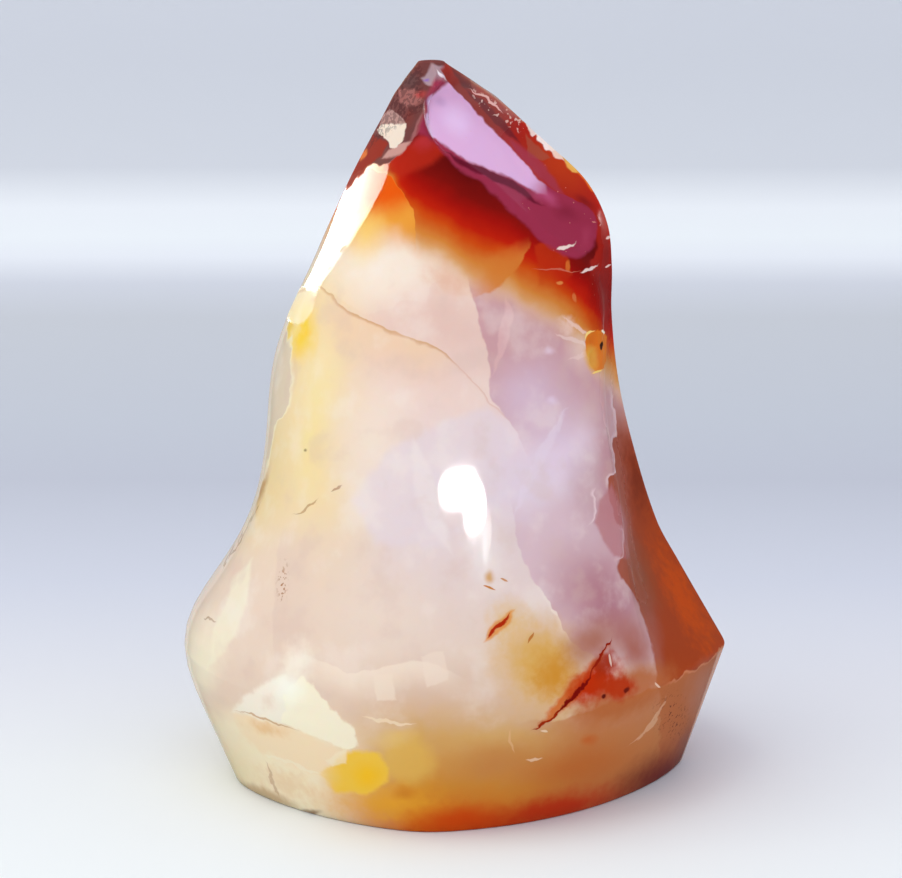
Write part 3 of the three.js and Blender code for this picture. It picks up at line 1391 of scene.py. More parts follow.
# Lines of the stone that bound more than one marking, px
LEFT_RIDGE_LINE = (
    (290, 297), (310, 291), (344, 290), (391, 292), (412, 287), (420, 276), (429, 272), (450, 268),
    (520, 255),
)
FRACTURE_LINE = (
    (296, 293), (318, 288), (332, 297), (353, 312), (383, 329), (412, 340), (442, 352), (459, 369),
    (485, 395), (506, 418), (522, 440),
)
UPPER_VEIL_LINE = (
    (262, 461), (280, 468), (305, 476), (348, 487), (378, 491), (393, 491), (403, 497), (418, 506),
    (437, 519), (465, 532),
)
LOWER_VEIL_LINE = (
    (500, 508), (518, 511), (556, 521), (574, 531), (592, 543), (610, 553), (638, 568), (659, 598),
    (690, 640),
)
RIGHT_VEIL_LINE = (
    (375, 607), (405, 613), (429, 617), (445, 614), (463, 616), (484, 608), (500, 611), (520, 617),
    (540, 624), (558, 618), (600, 637), (640, 650), (700, 660),
)
TORN_LINE = (
    (222, 708), (262, 674), (290, 657), (330, 664), (355, 673), (385, 667), (410, 661), (440, 668),
    (475, 692),
)
CREST_LINE = (
    (66, 440), (84, 452), (100, 467), (118, 482), (143, 507), (160, 520), (177, 534), (190, 554),
    (200, 575), (208, 590), (222, 595), (240, 595), (262, 590),
)
FLUTE_LINE = (
    (418, 133), (426, 139), (450, 160), (487, 190), (520, 221), (545, 243), (560, 252), (572, 257),
    (582, 255), (590, 247), (596, 236), (606, 190),
)
FOOT_LINE = ((560, 722), (600, 706), (658, 688), (680, 677), (700, 666), (727, 643))

LEFT_MARKS = (
    mark("pale yellow left side", (243, 218, 170), 0.95, Fade((395, 430), (315, 430)),
         Fade((330, 640), (325, 510))),
    mark("peach lower left", (234, 211, 192), 0.8, Fade((420, 600), (310, 600)),
         Fade((300, 480), (300, 570))),
    mark("butter patch", (249, 228, 176), 0.6, Cloud((320, 385), (34, 75), 2)),
    mark("yellow waist", (233, 209, 158), 0.85, Cloud((264, 480), (40, 95), 12)),
    mark("amber rim of the waist", (182, 128, 62), 0.95, Cloud((260, 490), (9, 36), 14)),
    mark("brown hair of the silhouette", (150, 112, 70), 0.7, Stroke((266, 500), (220, 578), 1.8, 3, 1.5)),
    mark("grey outer strip", (224, 207, 184), 0.9, Border(LEFT_RIDGE_LINE, edge=2, flipped=True),
         Fade((258, 560), (268, 490)), Fade((293, 288), (290, 318))),
    mark("clear line along the left ridge", (252, 243, 210), 0.7, Band(Border(LEFT_RIDGE_LINE), 1.5, 3),
         Fade((255, 520), (268, 450)), Fade((293, 290), (290, 330))),
    mark("yellow blob", (252, 210, 78), 1, Cloud((300, 328), (24, 44), 5, edge=0.8),
         Border(LEFT_RIDGE_LINE, edge=2)),
    mark("yellow trail under the blob", (246, 224, 158), 0.6, Cloud((312, 440), (26, 90), 4)),
    mark("dull spot by the fracture", (248, 232, 196), 0.6, Cloud((299, 306), (17, 22), 20, edge=0.3),
         rough=0.5),
    mark("brown hair line", (186, 140, 96), 0.7, Stroke((290, 516), (320, 496), 1.4, 1.5, 2)),
    mark("brown dash", (176, 130, 92), 0.8, Stroke((329, 493), (343, 485), 1.7, 0, 1.5)),
    mark("dot", (120, 92, 60), 0.8, Cloud((307, 451), (2.2, 2.2))),
    # Painted highlight: the lamp's shine along the lower left ridge, laid on as a pale colour
    mark("painted highlight streak of the left ridge", (244, 233, 208), 0.85,
         Flake(((234, 578), (252, 560), (246, 604), (224, 652), (207, 668), (213, 630)), edge=6)),
    mark("pink right of the edge", (228, 203, 187), 0.65,
         Band(Border(((530, 284), (570, 279), (610, 277), (680, 273))), 3, 46),
         Fade((280, 520), (280, 560)), Fade((276, 690), (278, 640))),
    mark("rust grains", (170, 112, 64), 0.9, Cloud((284, 585), (8, 30)), Specks(0.56)),
    mark("rust thread", (150, 92, 50), 0.9, Stroke((202, 618), (217, 623), 1.6, 0, 1.5)),
)

MIDDLE_MARKS = (
    mark("cream under the cap", (246, 230, 214), 0.95, Cloud((385, 268), (98, 64), 8), Border(((320, 290),
         (345, 300), (370, 314), (390, 311), (403, 303), (425, 300), (430, 284), (450, 275), (470, 250)),
         Run.ACROSS, edge=2.5, flipped=True)),
    mark("rose tan under the cream", (229, 196, 184), 0.8, Cloud((442, 312), (62, 40), 18)),
    mark("tan under the fracture", (240, 208, 174), 0.85, Band(Border(FRACTURE_LINE, Run.ACROSS), 1.5, 62),
         Fade((462, 380), (415, 350)), Fade((318, 300), (350, 312))),
    mark("cream middle", (244, 226, 209), 0.75, Cloud((375, 440), (62, 95), 5)),
    mark("lilac facet", (232, 217, 220), 0.7, Flake(((352, 500), (398, 440), (442, 424), (486, 403),
         (514, 436), (505, 500), (440, 548), (376, 545)), edge=12)),
    mark("white haze beside the lilac", (244, 233, 228), 0.45, Stroke((410, 428), (455, 562), 15, 4)),
    mark("milky pool", (243, 233, 228), 0.75, Cloud((482, 550), (28, 42))),
    mark("peach lower middle", (238, 219, 203), 0.7, Cloud((385, 612), (80, 70))),
    mark("fracture", (203, 144, 92), 0.6, Band(Border(FRACTURE_LINE, Run.ACROSS), 1.2, 4.5),
         Fade((470, 375), (448, 356)), Fade((300, 296), (345, 306))),
    mark("faint start of the fracture", (222, 184, 140), 0.8,
         Band(Border(FRACTURE_LINE, Run.ACROSS), 1.2, 3), Fade((345, 306), (325, 296))),
    mark("faint end of the fracture", (222, 178, 158), 0.6, Band(Border(FRACTURE_LINE, Run.ACROSS), 1.5, 3),
         Fade((450, 360), (470, 378)), Fade((520, 438), (500, 412))),
)

RIGHT_MARKS = (
    mark("lavender heart", (232, 213, 226), 1, Cloud((558, 440), (86, 130), 6)),
    mark("rose right of the veil", (206, 160, 164), 0.95, Border(UPPER_VEIL_LINE, edge=2.5),
         Fade((520, 468), (505, 395)), Fade((560, 262), (560, 282))),
    mark("lavender right of the veil", (221, 195, 210), 0.85, Border(UPPER_VEIL_LINE, edge=2.5),
         Cloud((530, 400), (66, 66), 0)),
    mark("flame flake", (226, 186, 184), 0.65, Flake(((507, 298), (516, 325), (507, 345), (502, 372),
         (496, 402), (493, 380), (500, 330)), edge=3)),
    mark("mauve right of the lower veil", (221, 192, 198), 0.9, Border(LOWER_VEIL_LINE, edge=2.5),
         Fade((500, 492), (505, 520)), Fade((600, 672), (600, 650))),
    mark("pale lilac", (230, 214, 224), 0.85, Cloud((522, 486), (46, 56), 10)),
    mark("rose right edge", (194, 142, 146), 0.95, Cloud((609, 468), (27, 112), -4)),
    mark("rose lower right", (193, 142, 148), 0.95, Cloud((596, 590), (78, 78), -20),
         Border(LOWER_VEIL_LINE, edge=3)),
    mark("plum lower right", (181, 122, 132), 0.8, Cloud((612, 612), (40, 62), -18)),
    mark("rose of the right waist", (198, 156, 160), 0.7, Cloud((590, 490), (34, 62), -6)),
    mark("pale diagonal streak", (234, 218, 228), 0.6, Stroke((572, 402), (508, 522), 7, 3, 3)),
    mark("upper smudge", (230, 206, 218), 0.8, Cloud((550, 352), (9, 6))),
    mark("lower smudge", (232, 212, 226), 0.8, Cloud((553, 402), (10, 7))),
    mark("clear edge of the lower veil", (243, 226, 214), 0.7, Band(Border(LOWER_VEIL_LINE), 5, 1),
         Fade((545, 575), (552, 600)), Fade((580, 652), (565, 632))),
    mark("nick in the lower veil", (246, 232, 220), 0.9, Stroke((550, 606), (557, 617), 2.4)),
    mark("white wisps", (250, 240, 230), 0.28, Wisps(0.50, 0.70), Fade((450, 760), (450, 700))),
    mark("clear wisps", (218, 190, 178), 0.28, Wisps(0.47, 0.30), Fade((450, 760), (450, 700))),
    mark("red brown right edge", (164, 74, 40), 0.9, Border(RIGHT_VEIL_LINE, edge=2.5),
         Fade((620, 375), (616, 440))),
    mark("rose brown hollow", (190, 124, 126), 0.75,
         Flake(((594, 522), (600, 500), (612, 484), (626, 520), (630, 556), (612, 554)), edge=5)),
    mark("clear edge of the right veil", (236, 210, 210), 0.75, Band(Border(RIGHT_VEIL_LINE), 3, 1),
         Fade((607, 380), (610, 400)), Fade((606, 492), (609, 480))),
    mark("scallop in the right veil", (238, 214, 214), 0.8,
         Band(Border(((484, 600), (492, 592), (502, 595), (512, 595), (524, 588))), 3, 1),
         Fade((590, 486), (592, 494)), Fade((590, 526), (592, 518))),
    mark("lower scallop", (226, 190, 190), 0.7, Band(Border(((528, 619), (540, 624), (558, 616))), 3, 1),
         Fade((620, 526), (620, 533)), Fade((618, 562), (618, 555))),
    mark("rust right face", (168, 66, 18), 0.95,
         Border(((440, 620), (480, 624), (540, 633), (600, 650), (650, 660), (690, 665)), edge=18),
         Fade((625, 410), (630, 470))),
    mark("dark right face", (120, 44, 22), 0.75, Cloud((636, 478), (16, 62), -12, torn=0.2)),
    mark("orange right face", (206, 80, 6), 0.85, Cloud((682, 596), (22, 90), -28, torn=0.3)),
    mark("brown behind the ridge", (156, 78, 42), 0.95, Cloud((641, 578), (22, 62), -12)),
    mark("salmon behind the ridge", (172, 98, 78), 0.9, Cloud((636, 648), (34, 50), -12)),
    mark("rubbed line of the right ridge", (180, 104, 92), 0.12, Band(Border(((200, 599), (250, 604),
         (290, 603), (335, 605), (400, 607), (460, 615), (520, 624), (560, 632), (610, 646))), 7, 11),
         Fade((600, 202), (601, 214)), Fade((645, 612), (641, 598)), rough=0.5),
)

PIT_MARKS = (
    mark("white smudge by the pit", (240, 212, 200), 0.7, Cloud((566, 326), (14, 12), 35, torn=0.3)),
    mark("upper ray of the pit", (240, 206, 190), 0.8, Stroke((560, 316), (592, 343), 2.6, 0, 3)),
    mark("middle ray of the pit", (236, 208, 200), 0.7, Stroke((552, 332), (594, 350), 3, 0, 3)),
    mark("lower ray of the pit", (232, 202, 200), 0.7, Stroke((566, 360), (598, 352), 3, 0, 3)),
    mark("white fringe of the pit", (240, 214, 196), 0.55, Cloud((580, 352), (20, 26), edge=0.9)),
    mark("amber of the pit", (222, 118, 18), 1, Flake(((583, 343), (586, 334), (593, 330), (602, 331),
         (607, 338), (608, 354), (606, 366), (600, 372), (592, 366), (586, 354)), edge=1.5, torn=1),
         rough=0.3),
    mark("yellow side of the pit", (230, 170, 62), 0.9, Cloud((592, 359), (10, 17), -22, edge=0.7),
         rough=0.3),
    mark("upper rim of the pit", (255, 216, 128), 1, Stroke((582, 343), (595, 329), 1.6, -2, 0.8),
         rough=0.3),
    mark("lower rim of the pit", (250, 214, 120), 1, Stroke((594, 372), (605, 369), 1.6, 0, 1.5),
         rough=0.3),
    mark("glint of the pit", (255, 244, 214), 1, Cloud((602, 332), (3, 2.4), edge=0.5), rough=0.2),
    # Painted shade: the dark of the pit's hole, laid on as a near black colour
    mark("painted shade in the bottom of the pit", (40, 10, 6), 1, Cloud((601, 347), (2.4, 4.6), -8, edge=0.4), rough=0.5),
)

STAIN_MARKS = (
    mark("honey stain", (224, 178, 98), 1, Cloud((542, 664), (72, 62), 42, edge=0.85, torn=0.08)),
    mark("honey stain above", (230, 194, 136), 0.8, Cloud((510, 622), (30, 34), -20, torn=0.2)),
    mark("ochre stain", (214, 148, 46), 0.95, Cloud((554, 676), (36, 38), 30, torn=0.15)),
    mark("rosy tan by the crack", (176, 108, 84), 0.9, Cloud((593, 642), (50, 35), -30)),
    mark("tan above the ring", (188, 108, 58), 0.9, Cloud((624, 694), (72, 28), -24, edge=0.6, torn=0.06)),
    mark("halo of the crack", (212, 100, 22), 0.85, Stroke((532, 731), (612, 642), 9, 4, 4)),
    mark("rust halo", (196, 50, 4), 1, Cloud((594, 682), (44, 23), -38, edge=0.7, torn=0.15)),
    mark("rust plume", (168, 48, 14), 0.9, Cloud((605, 665), (17, 21), 22, edge=0.8, torn=0.2)),
    mark("rust arm", (188, 54, 10), 0.95, Cloud((616, 688), (28, 17), -6, edge=0.65, torn=0.15)),
    mark("foot of the crack", (160, 40, 6), 1, Stroke((529, 733), (566, 704), 2, 1.5, 3)),
    mark("crack", (128, 12, 2), 1, Stroke((552, 717), (596, 668), 3.2, 1, 5)),
    mark("head of the crack", (150, 30, 6), 1, Stroke((586, 682), (614, 638), 2, -1.5, 4)),
    mark("left speck by the crack", (96, 22, 12), 1, Cloud((603, 697), (3.6, 3), edge=0.6)),
    mark("right speck by the crack", (110, 26, 12), 1, Cloud((627, 690), (3.2, 4), edge=0.6)),
    mark("orange halo of the dash", (228, 150, 62), 0.8, Stroke((484, 646), (518, 608), 7, 0, 2)),
    mark("red dash", (184, 42, 8), 1, Stroke((487, 642), (514, 612), 2.6, 0, 2.5)),
    mark("upper short dash", (204, 132, 62), 1, Stroke((482, 584), (497, 589), 1.8, 0, 1)),
    mark("second short dash", (206, 140, 80), 0.9, Stroke((501, 579), (511, 582), 1.6)),
    mark("lower short dash", (190, 112, 40), 0.9, Stroke((527, 647), (532, 631), 2, 0, 1)),
    mark("tan spot", (216, 164, 92), 0.9, Cloud((490, 576), (8, 9))),
)

FOOT_MARKS = (
    mark("milky foot left", (250, 234, 202), 0.95, Fade((385, 760), (300, 750)),
         Fade((270, 700), (265, 735))),
    mark("grey foot far left", (240, 222, 182), 0.85, Cloud((232, 775), (36, 52), -20)),
    mark("pale belly far left", (252, 240, 212), 0.8, Cloud((200, 660), (34, 74), 10)),
    mark("rust foot right", (194, 116, 66), 0.85, Border(FOOT_LINE, Run.ACROSS, edge=3),
         Fade((500, 740), (600, 735))),
    mark("ochre foot", (200, 134, 74), 0.8, Cloud((500, 765), (76, 34), -5)),
    mark("brown foot", (194, 108, 46), 0.8, Cloud((575, 766), (86, 34), -15)),
    mark("salmon foot far right", (196, 132, 104), 0.85, Cloud((704, 690), (24, 46), 20)),
    mark("dusky foot far right", (138, 80, 74), 0.8, Cloud((694, 748), (26, 36), 10)),
    mark("amber foot", (232, 168, 48), 0.9, Cloud((388, 804), (96, 36), 6, torn=0.1)),
    mark("orange foot", (207, 74, 10), 0.95, Cloud((462, 822), (84, 26), -4, edge=0.9)),
    mark("red foot", (192, 50, 12), 0.95, Cloud((556, 811), (112, 27), -13, edge=0.9, torn=0.08)),
    mark("maroon foot right", (118, 34, 22), 1, Cloud((664, 776), (88, 34), -27, torn=0.05)),
    mark("peach under the milky patch", (248, 222, 186), 0.85, Flake(((233, 713), (283, 723), (318, 738),
         (350, 752), (338, 776), (300, 772), (262, 754), (242, 738)), edge=10, torn=3)),
    mark("tan under the patch's edge", (236, 194, 142), 0.8, Cloud((268, 729), (30, 11), 14, torn=0.2)),
    mark("beige fissured foot", (236, 206, 168), 0.7, Cloud((286, 784), (50, 18), 20, torn=0.3)),
    mark("upper vein of the peach", (250, 236, 210), 0.6, Stroke((258, 752), (330, 776), 2.6, 3, 3)),
    mark("fissure of the foot", (196, 160, 130), 0.6, Stroke((262, 757), (282, 800), 1.4, 3, 2)),
    mark("yellow lobes", (228, 184, 92), 0.85, Cloud((406, 760), (38, 32), 10, edge=0.6, torn=0.04)),
    mark("pale top of the lobes", (234, 200, 128), 0.6, Cloud((392, 740), (34, 12), -6)),
    mark("yellow patch", (244, 200, 76), 1, Flake(((318, 774), (336, 758), (358, 749), (378, 754),
         (388, 767), (387, 782), (366, 794), (334, 792)), edge=6, torn=1), Fade((304, 770), (344, 772))),
    mark("yellow heart", (250, 196, 34), 0.9, Cloud((366, 775), (24, 20))),
    mark("dark nook of the patch", (206, 124, 34), 0.6, Cloud((404, 794), (18, 10), -10)),
    mark("cream flake", (250, 234, 204), 0.6,
         Flake(((324, 758), (332, 752), (346, 750), (345, 762), (331, 766)), edge=3, torn=1)),
    mark("brown rim left", (194, 160, 118), 0.75, Cloud((268, 797), (50, 10), 21, edge=0.8, torn=0.06)),
    mark("dark spot of the rim", (122, 84, 54), 0.8, Cloud((312, 811), (14, 4))),
    mark("clear rim of the ring", (222, 150, 108), 0.6, Band(Border(FOOT_LINE, Run.ACROSS), 1.5, 2.5),
         Fade((650, 692), (680, 680))),
    mark("pale arc right", (226, 178, 138), 0.7, Stroke((666, 692), (627, 746), 2.2, -7, 2)),
    mark("pale arc middle", (230, 186, 140), 0.6, Stroke((510, 728), (516, 758), 1.8, 2, 1)),
    mark("orange smudge", (200, 98, 34), 0.7, Cloud((588, 738), (12, 10))),
    mark("dark grains right", (88, 38, 28), 0.9, Cloud((672, 715), (24, 40)), Specks(0.62)),
)

MILKY_MARKS = (
    mark("torn veil", (246, 229, 210), 0.7, Band(Border(TORN_LINE, Run.ACROSS), 2, 34),
         Fade((290, 670), (330, 672)), Fade((478, 690), (420, 672))),
    mark("upper torn bit", (243, 225, 207), 0.6,
         Flake(((420, 656), (444, 651), (449, 680), (428, 688)), edge=3)),
    mark("lower torn bit", (243, 224, 204), 0.75,
         Flake(((373, 675), (392, 672), (394, 701), (377, 701)), edge=3)),
    mark("glow above the patch", (252, 241, 224), 0.85, Cloud((296, 664), (26, 34), 20, torn=0.15)),
    mark("left milky patch", (250, 239, 222), 0.9,
         Flake(((231, 712), (244, 696), (262, 684), (286, 676), (294, 700), (284, 724)), edge=7, torn=1.5)),
    mark("pink in the left patch", (238, 216, 198), 0.7, Cloud((268, 702), (11, 12), 20, torn=0.3)),
    mark("milky patch", (255, 242, 216), 0.88, Flake(((282, 724), (285, 688), (302, 676), (347, 706),
         (353, 728), (362, 737), (347, 751), (318, 738)), edge=3.5, torn=2)),
    mark("light in the milky patch", (255, 250, 234), 0.9, Cloud((288, 688), (26, 22), 30)),
    mark("brown edge of the patch", (206, 164, 122), 0.8, Stroke((229, 710), (304, 732), 1.3, -2, 1)),
    mark("clear lip right of the patch", (247, 226, 196), 0.7, Stroke((358, 713), (420, 728), 2.4, 3, 2)),
)

RED_MARKS = (
    mark("apricot under the cap", (228, 178, 148), 0.65, Cloud((446, 280), (38, 20), 24, torn=0.2)),
    mark("amber tongue", (214, 128, 52), 0.85, Cloud((466, 222), (68, 76), edge=0.04, torn=0.02),
         Fade((466, 270), (500, 270)), Fade((506, 244), (512, 264))),
    mark("red lobe", (190, 50, 14), 0.75,
         Flake(((534, 246), (548, 240), (566, 250), (574, 274), (558, 292), (540, 286)), edge=4),
         Fade((556, 300), (552, 262))),
    mark("orange lobe", (236, 160, 60), 1, Cloud((368, 238), (49, 68), edge=0.03),
         Fade((398, 258), (396, 216))),
    mark("yellow side of the lobe", (250, 214, 124), 0.7, Cloud((366, 232), (30, 44), 10),
         Cloud((368, 238), (49, 68), edge=0.03)),
    mark("fiery top of the lobe", (232, 92, 12), 1, Cloud((368, 238), (49, 68), edge=0.03),
         Fade((398, 220), (394, 192))),
    mark("red shoulder", (184, 40, 22), 0.85,
         Flake(((386, 172), (392, 154), (420, 136), (450, 150), (428, 166), (402, 180)), edge=10)),
    # Painted shade: the cap's right edge, turned away from the light, darkened in its colour
    mark("painted shade along the right edge of the cap", (150, 18, 8), 0.9, Cloud((604, 288), (22, 78))),
    mark("orange speck", (216, 116, 44), 0.8, Cloud((569, 266), (4, 7), edge=0.5)),
    mark("small orange speck", (222, 140, 70), 0.9, Cloud((560, 283), (4.5, 2.5), edge=0.5)),
    mark("amber speck", (214, 124, 66), 0.8, Cloud((575, 299), (2.5, 6), edge=0.5)),
    mark("faint line across the cap", (206, 120, 96), 0.7, Stroke((528, 271), (588, 271), 1.1)),
)

CREST_MARKS = (
    mark("smoky shoulder", (112, 56, 54), 0.95, Border(((335, 196), (352, 176), (372, 166), (385, 166),
         (398, 156), (412, 139), (423, 108), (455, 84)), Run.ACROSS, edge=3, flipped=True),
         Fade((458, 84), (444, 84)), rough=0.75),
    mark("grey top of the shoulder", (98, 68, 68), 0.85, Cloud((408, 80), (20, 18), 30), rough=0.75),
    mark("tan patch of the shoulder", (170, 106, 100), 0.75, Flake(((400, 91), (412, 89), (420, 92),
         (424, 100), (418, 106), (406, 108), (401, 101)), edge=3, torn=1.5), rough=0.75),
    mark("red patch of the shoulder", (190, 60, 58), 0.85, Cloud((422, 95), (10, 6), -10)),
    mark("dark patch of the shoulder", (128, 46, 38), 0.85, Cloud((408, 117), (9, 14), 25)),
    mark("brick foot of the shoulder", (152, 42, 22), 0.95,
         Flake(((387, 144), (372, 136), (343, 183), (347, 189), (381, 157)), edge=4, torn=0.5), rough=0.75),
    mark("orange glint of the shoulder", (232, 124, 54), 0.8, Cloud((362, 155), (4, 8), 25, edge=0.6)),
    # Painted highlight: the shine along the cap's rounded left ridge, laid on as a pale pink colour
    mark("painted highlight along the ridge", (180, 112, 112), 0.6, Stroke((427, 98), (409, 142), 5, -2, 2)),
    # Painted highlight: the lower end of the same shine along the ridge
    mark("painted pink highlight at the foot of the ridge", (212, 160, 150), 0.8, Stroke((414, 138), (380, 161), 6, -1, 1),
         rough=0.6),
    mark("grey top of the flake", (190, 148, 140), 0.85, Flake(((379, 129), (384, 117), (391, 112),
         (398, 116), (405, 124), (403, 131), (388, 131)), edge=1.5, torn=0.6), rough=0.75),
    mark("cream flake of the shoulder", (240, 222, 204), 0.95, Flake(((376, 131), (386, 126), (405, 124),
         (404, 139), (399, 147), (392, 147), (386, 142)), edge=1.5, torn=1.2), rough=0.75),
    mark("grains of the shoulder", (64, 34, 36), 0.45,
         Flake(((398, 64), (420, 62), (424, 106), (380, 140), (366, 150)), edge=6), Specks(0.48),
         rough=0.75),
    mark("chip at the tip", (178, 152, 160), 0.85,
         Flake(((421, 77), (431, 63), (446, 65), (452, 78), (440, 86), (426, 84)), edge=3), rough=0.3),
    mark("white streak at the tip", (244, 232, 236), 0.9, Stroke((435, 67), (452, 80), 2, 2), rough=0.4),
    mark("violet spot at the tip", (132, 92, 190), 0.8, Cloud((426, 79), (5, 3))),
    mark("rose left of the flute", (188, 54, 62), 0.7, Cloud((424, 143), (18, 14))),
    mark("rose flute", (158, 48, 76), 1, Border(FLUTE_LINE, Run.ACROSS, edge=7, flipped=True),
         Fade((421, 108), (427, 110)), Fade((453, 76), (450, 86))),
    mark("dark under the lavender", (94, 8, 34), 0.85, Stroke((440, 149), (548, 208), 6, 0, 0.5)),
    mark("dark hollow of the flute", (134, 34, 58), 0.7, Cloud((564, 212), (20, 12), 28)),
    # Painted reflection: the lavender reflection fading into the stone's red at its end
    mark("painted fading end of the lavender reflection", (192, 84, 126), 0.8, Cloud((544, 195), (24, 10), 36)),
    # Painted sheen: a lighter pink gleam at the end of the flute, laid on as colour
    mark("painted pink sheen at the end of the flute", (170, 60, 88), 0.7, Cloud((584, 238), (10, 18), 12)),
    # Painted reflection: the lavender light mirrored in the polished flute, laid on as colour over a faint
    # lamp sheen
    mark("painted lavender reflection of the flute", (227, 184, 222), 0.97, Flake(((450, 80), (490, 112), (536, 166),
         (548, 197), (524, 188), (440, 144), (430, 137), (424, 120), (430, 99)), edge=4, torn=0.4),
         Fade((549, 196), (528, 180))),
    # Painted reflection: the brightest, palest part of the lavender reflection
    mark("painted pale top of the lavender reflection", (234, 207, 240), 0.7, Cloud((456, 120), (20, 26), -40)),
    # Painted reflection: a dimmer violet streak within the lavender reflection
    mark("dimmer violet streak of the painted flute reflection", (186, 144, 188), 0.4, Cloud((440, 103), (9, 9))),
    mark("red crest", (168, 34, 22), 0.95, Border(CREST_LINE, edge=3), Fade((603, 285), (603, 262)),
         Fade((448, 60), (452, 66))),
    mark("orange side of the crest", (188, 60, 22), 0.85, Border(CREST_LINE, edge=5),
         Cloud((558, 164), (58, 34), 42)),
    mark("rosy top of the crest", (148, 44, 34), 0.9, Border(CREST_LINE, edge=3),
         Fade((532, 124), (500, 98)), Fade((448, 60), (452, 66)), rough=0.6),
    mark("smoky top of the crest", (98, 42, 44), 0.85,
         Flake(((452, 66), (464, 70), (479, 82), (475, 91), (462, 86)), edge=3)),
    mark("dusty rim of the crest", (152, 84, 80), 0.5,
         Flake(((470, 78), (500, 96), (528, 118), (521, 121), (500, 110), (474, 90)), edge=2)),
    mark("brick facet of the crest", (166, 82, 62), 0.7,
         Flake(((526, 135), (540, 146), (550, 156), (541, 160), (527, 158)), edge=1.5)),
    mark("plum right of the lavender", (164, 58, 78), 0.75, Stroke((506, 136), (566, 198), 9)),
    mark("dark right of the lavender", (112, 32, 40), 0.8, Stroke((462, 84), (524, 148), 5)),
    # Painted shade: the cap's right edge under the crest, darkened in its colour
    mark("painted shade at the foot of the crest", (140, 14, 8), 0.8, Cloud((606, 254), (12, 30))),
    mark("dark nook of the crest", (130, 24, 26), 0.8, Cloud((584, 200), (16, 7), 35)),
    mark("orange rim of the crest", (226, 112, 40), 0.8, Stroke((566, 160), (604, 205), 3, -3)),
    mark("wear line of the crest", (234, 190, 184), 0.85, Stroke((468, 87), (503, 113), 1.7, -1, 3)),
)

CHIP_MARKS = (
    mark("first chip", (246, 222, 212), 0.85,
         Flake(((525, 119), (533, 124), (539, 134), (534, 137), (528, 130)), edge=1.5, torn=1), rough=0.3),
    mark("second chip", (250, 234, 228), 0.9,
         Flake(((533, 124), (548, 138), (554, 150), (547, 150), (538, 139)), edge=1.5, torn=1), rough=0.3),
    mark("third chip", (244, 216, 200), 0.85,
         Flake(((548, 143), (560, 153), (562, 162), (554, 157)), edge=1.5, torn=1), rough=0.3),
    mark("yellow chip", (232, 176, 84), 0.9,
         Flake(((559, 152), (569, 158), (577, 170), (570, 170), (562, 162)), edge=2), rough=0.3),
    mark("scratches of the crest", (226, 190, 180), 0.8,
         Flake(((470, 86), (530, 124), (522, 136), (476, 102)), edge=4), Specks(0.60)),
    mark("upper nick", (242, 218, 208), 0.95, Stroke((557, 250), (574, 243), 2.6, 0, 2), rough=0.4),
    mark("lower nick", (240, 214, 204), 0.95, Stroke((581, 274), (599, 265), 2.2, 0, 2), rough=0.4),
    mark("edge nick", (236, 200, 190), 0.9, Stroke((604, 239), (612, 236), 2), rough=0.4),
    mark("lower edge nick", (236, 200, 190), 0.9, Stroke((604, 268), (610, 266), 1.8), rough=0.4),
    mark("nick by the crack", (244, 226, 206), 0.7, Stroke((609, 656), (614, 667), 1.6), rough=0.4),
    mark("nick at the ring", (236, 206, 180), 0.8, Stroke((656, 682), (660, 689), 1.5), rough=0.4),
    mark("nick of the foot", (240, 214, 184), 0.8, Stroke((539, 731), (547, 735), 1.8), rough=0.4),
    mark("scrape of the foot", (238, 208, 176), 0.7, Stroke((524, 761), (544, 757), 1.8, 0, 2), rough=0.4),
    mark("dust of the cap", (226, 150, 130), 0.7,
         Flake(((470, 95), (560, 140), (612, 210), (610, 330), (560, 270), (440, 190)), edge=20),
         Specks(0.76), rough=0.3),
)

# In the order in which they are laid: under the cap's colour, then over it
BODY_MARKS = LEFT_MARKS + MIDDLE_MARKS + RIGHT_MARKS + FOOT_MARKS + STAIN_MARKS + MILKY_MARKS
CAP_MARKS = RED_MARKS + PIT_MARKS + CREST_MARKS + CHIP_MARKS
# The lowest row of the sheet that the cap's colour reaches, px
CAP_ENDS = 440.0

# The clouds and veils of the back
BACK_CLOUDS = (
    mark("lavender cloud", (214, 196, 212), 0.8, Drift((0.13, 0.02, 0.05), 34, (0.44, 0.64))),
    mark("yellow cloud", (244, 216, 152), 0.8, Drift((0.31, 0.22, 0.15), 30, (0.48, 0.68))),
    mark("milky veil", (251, 242, 228), 0.8, Drift((0.51, 0.12, 0.35), 26, (0.515, 0.535), (0.54, 0.70))),
    mark("second milky veil", (246, 234, 222), 0.55,
         Drift((0.71, 0.42, 0.25), 38, (0.48, 0.50), (0.51, 0.66))),
    mark("honey cloud", (214, 160, 84), 0.8, Drift((0.91, 0.62, 0.15), 28, (0.56, 0.74))),
)


@dataclass(frozen=True)
class Region:
    """A part of the stone between two rows of the sheet, which has materials of its own.

    They hold only the markings that reach the part, so that no place works out all of them.

    Attributes:
        name: What the part is, in plain words.
        top: Its upper row, px.
        bottom: Its lower row, px.
        thin: Whether its inner side shows at an edge, in the colours of the back.
    """

    name: str
    top: float
    bottom: float
    thin: bool = False


REGIONS = (
    Region("cap", EVERYWHERE[0], 215.0, thin=True),
    Region("shoulder", 215.0, 330.0),
    Region("waist", 330.0, 460.0),
    Region("belly", 460.0, 620.0),
    Region("ring", 620.0, 720.0),
    Region("foot", 720.0, EVERYWHERE[1]),
)
# How far markings may be shifted over the edge of a region, px
REGION_MARGIN = 18.0


class Side(Enum):
    """Which way faces of the stone are turned: all to the viewer, or not."""

    FRONT = "front"
    TURNED = "turned"


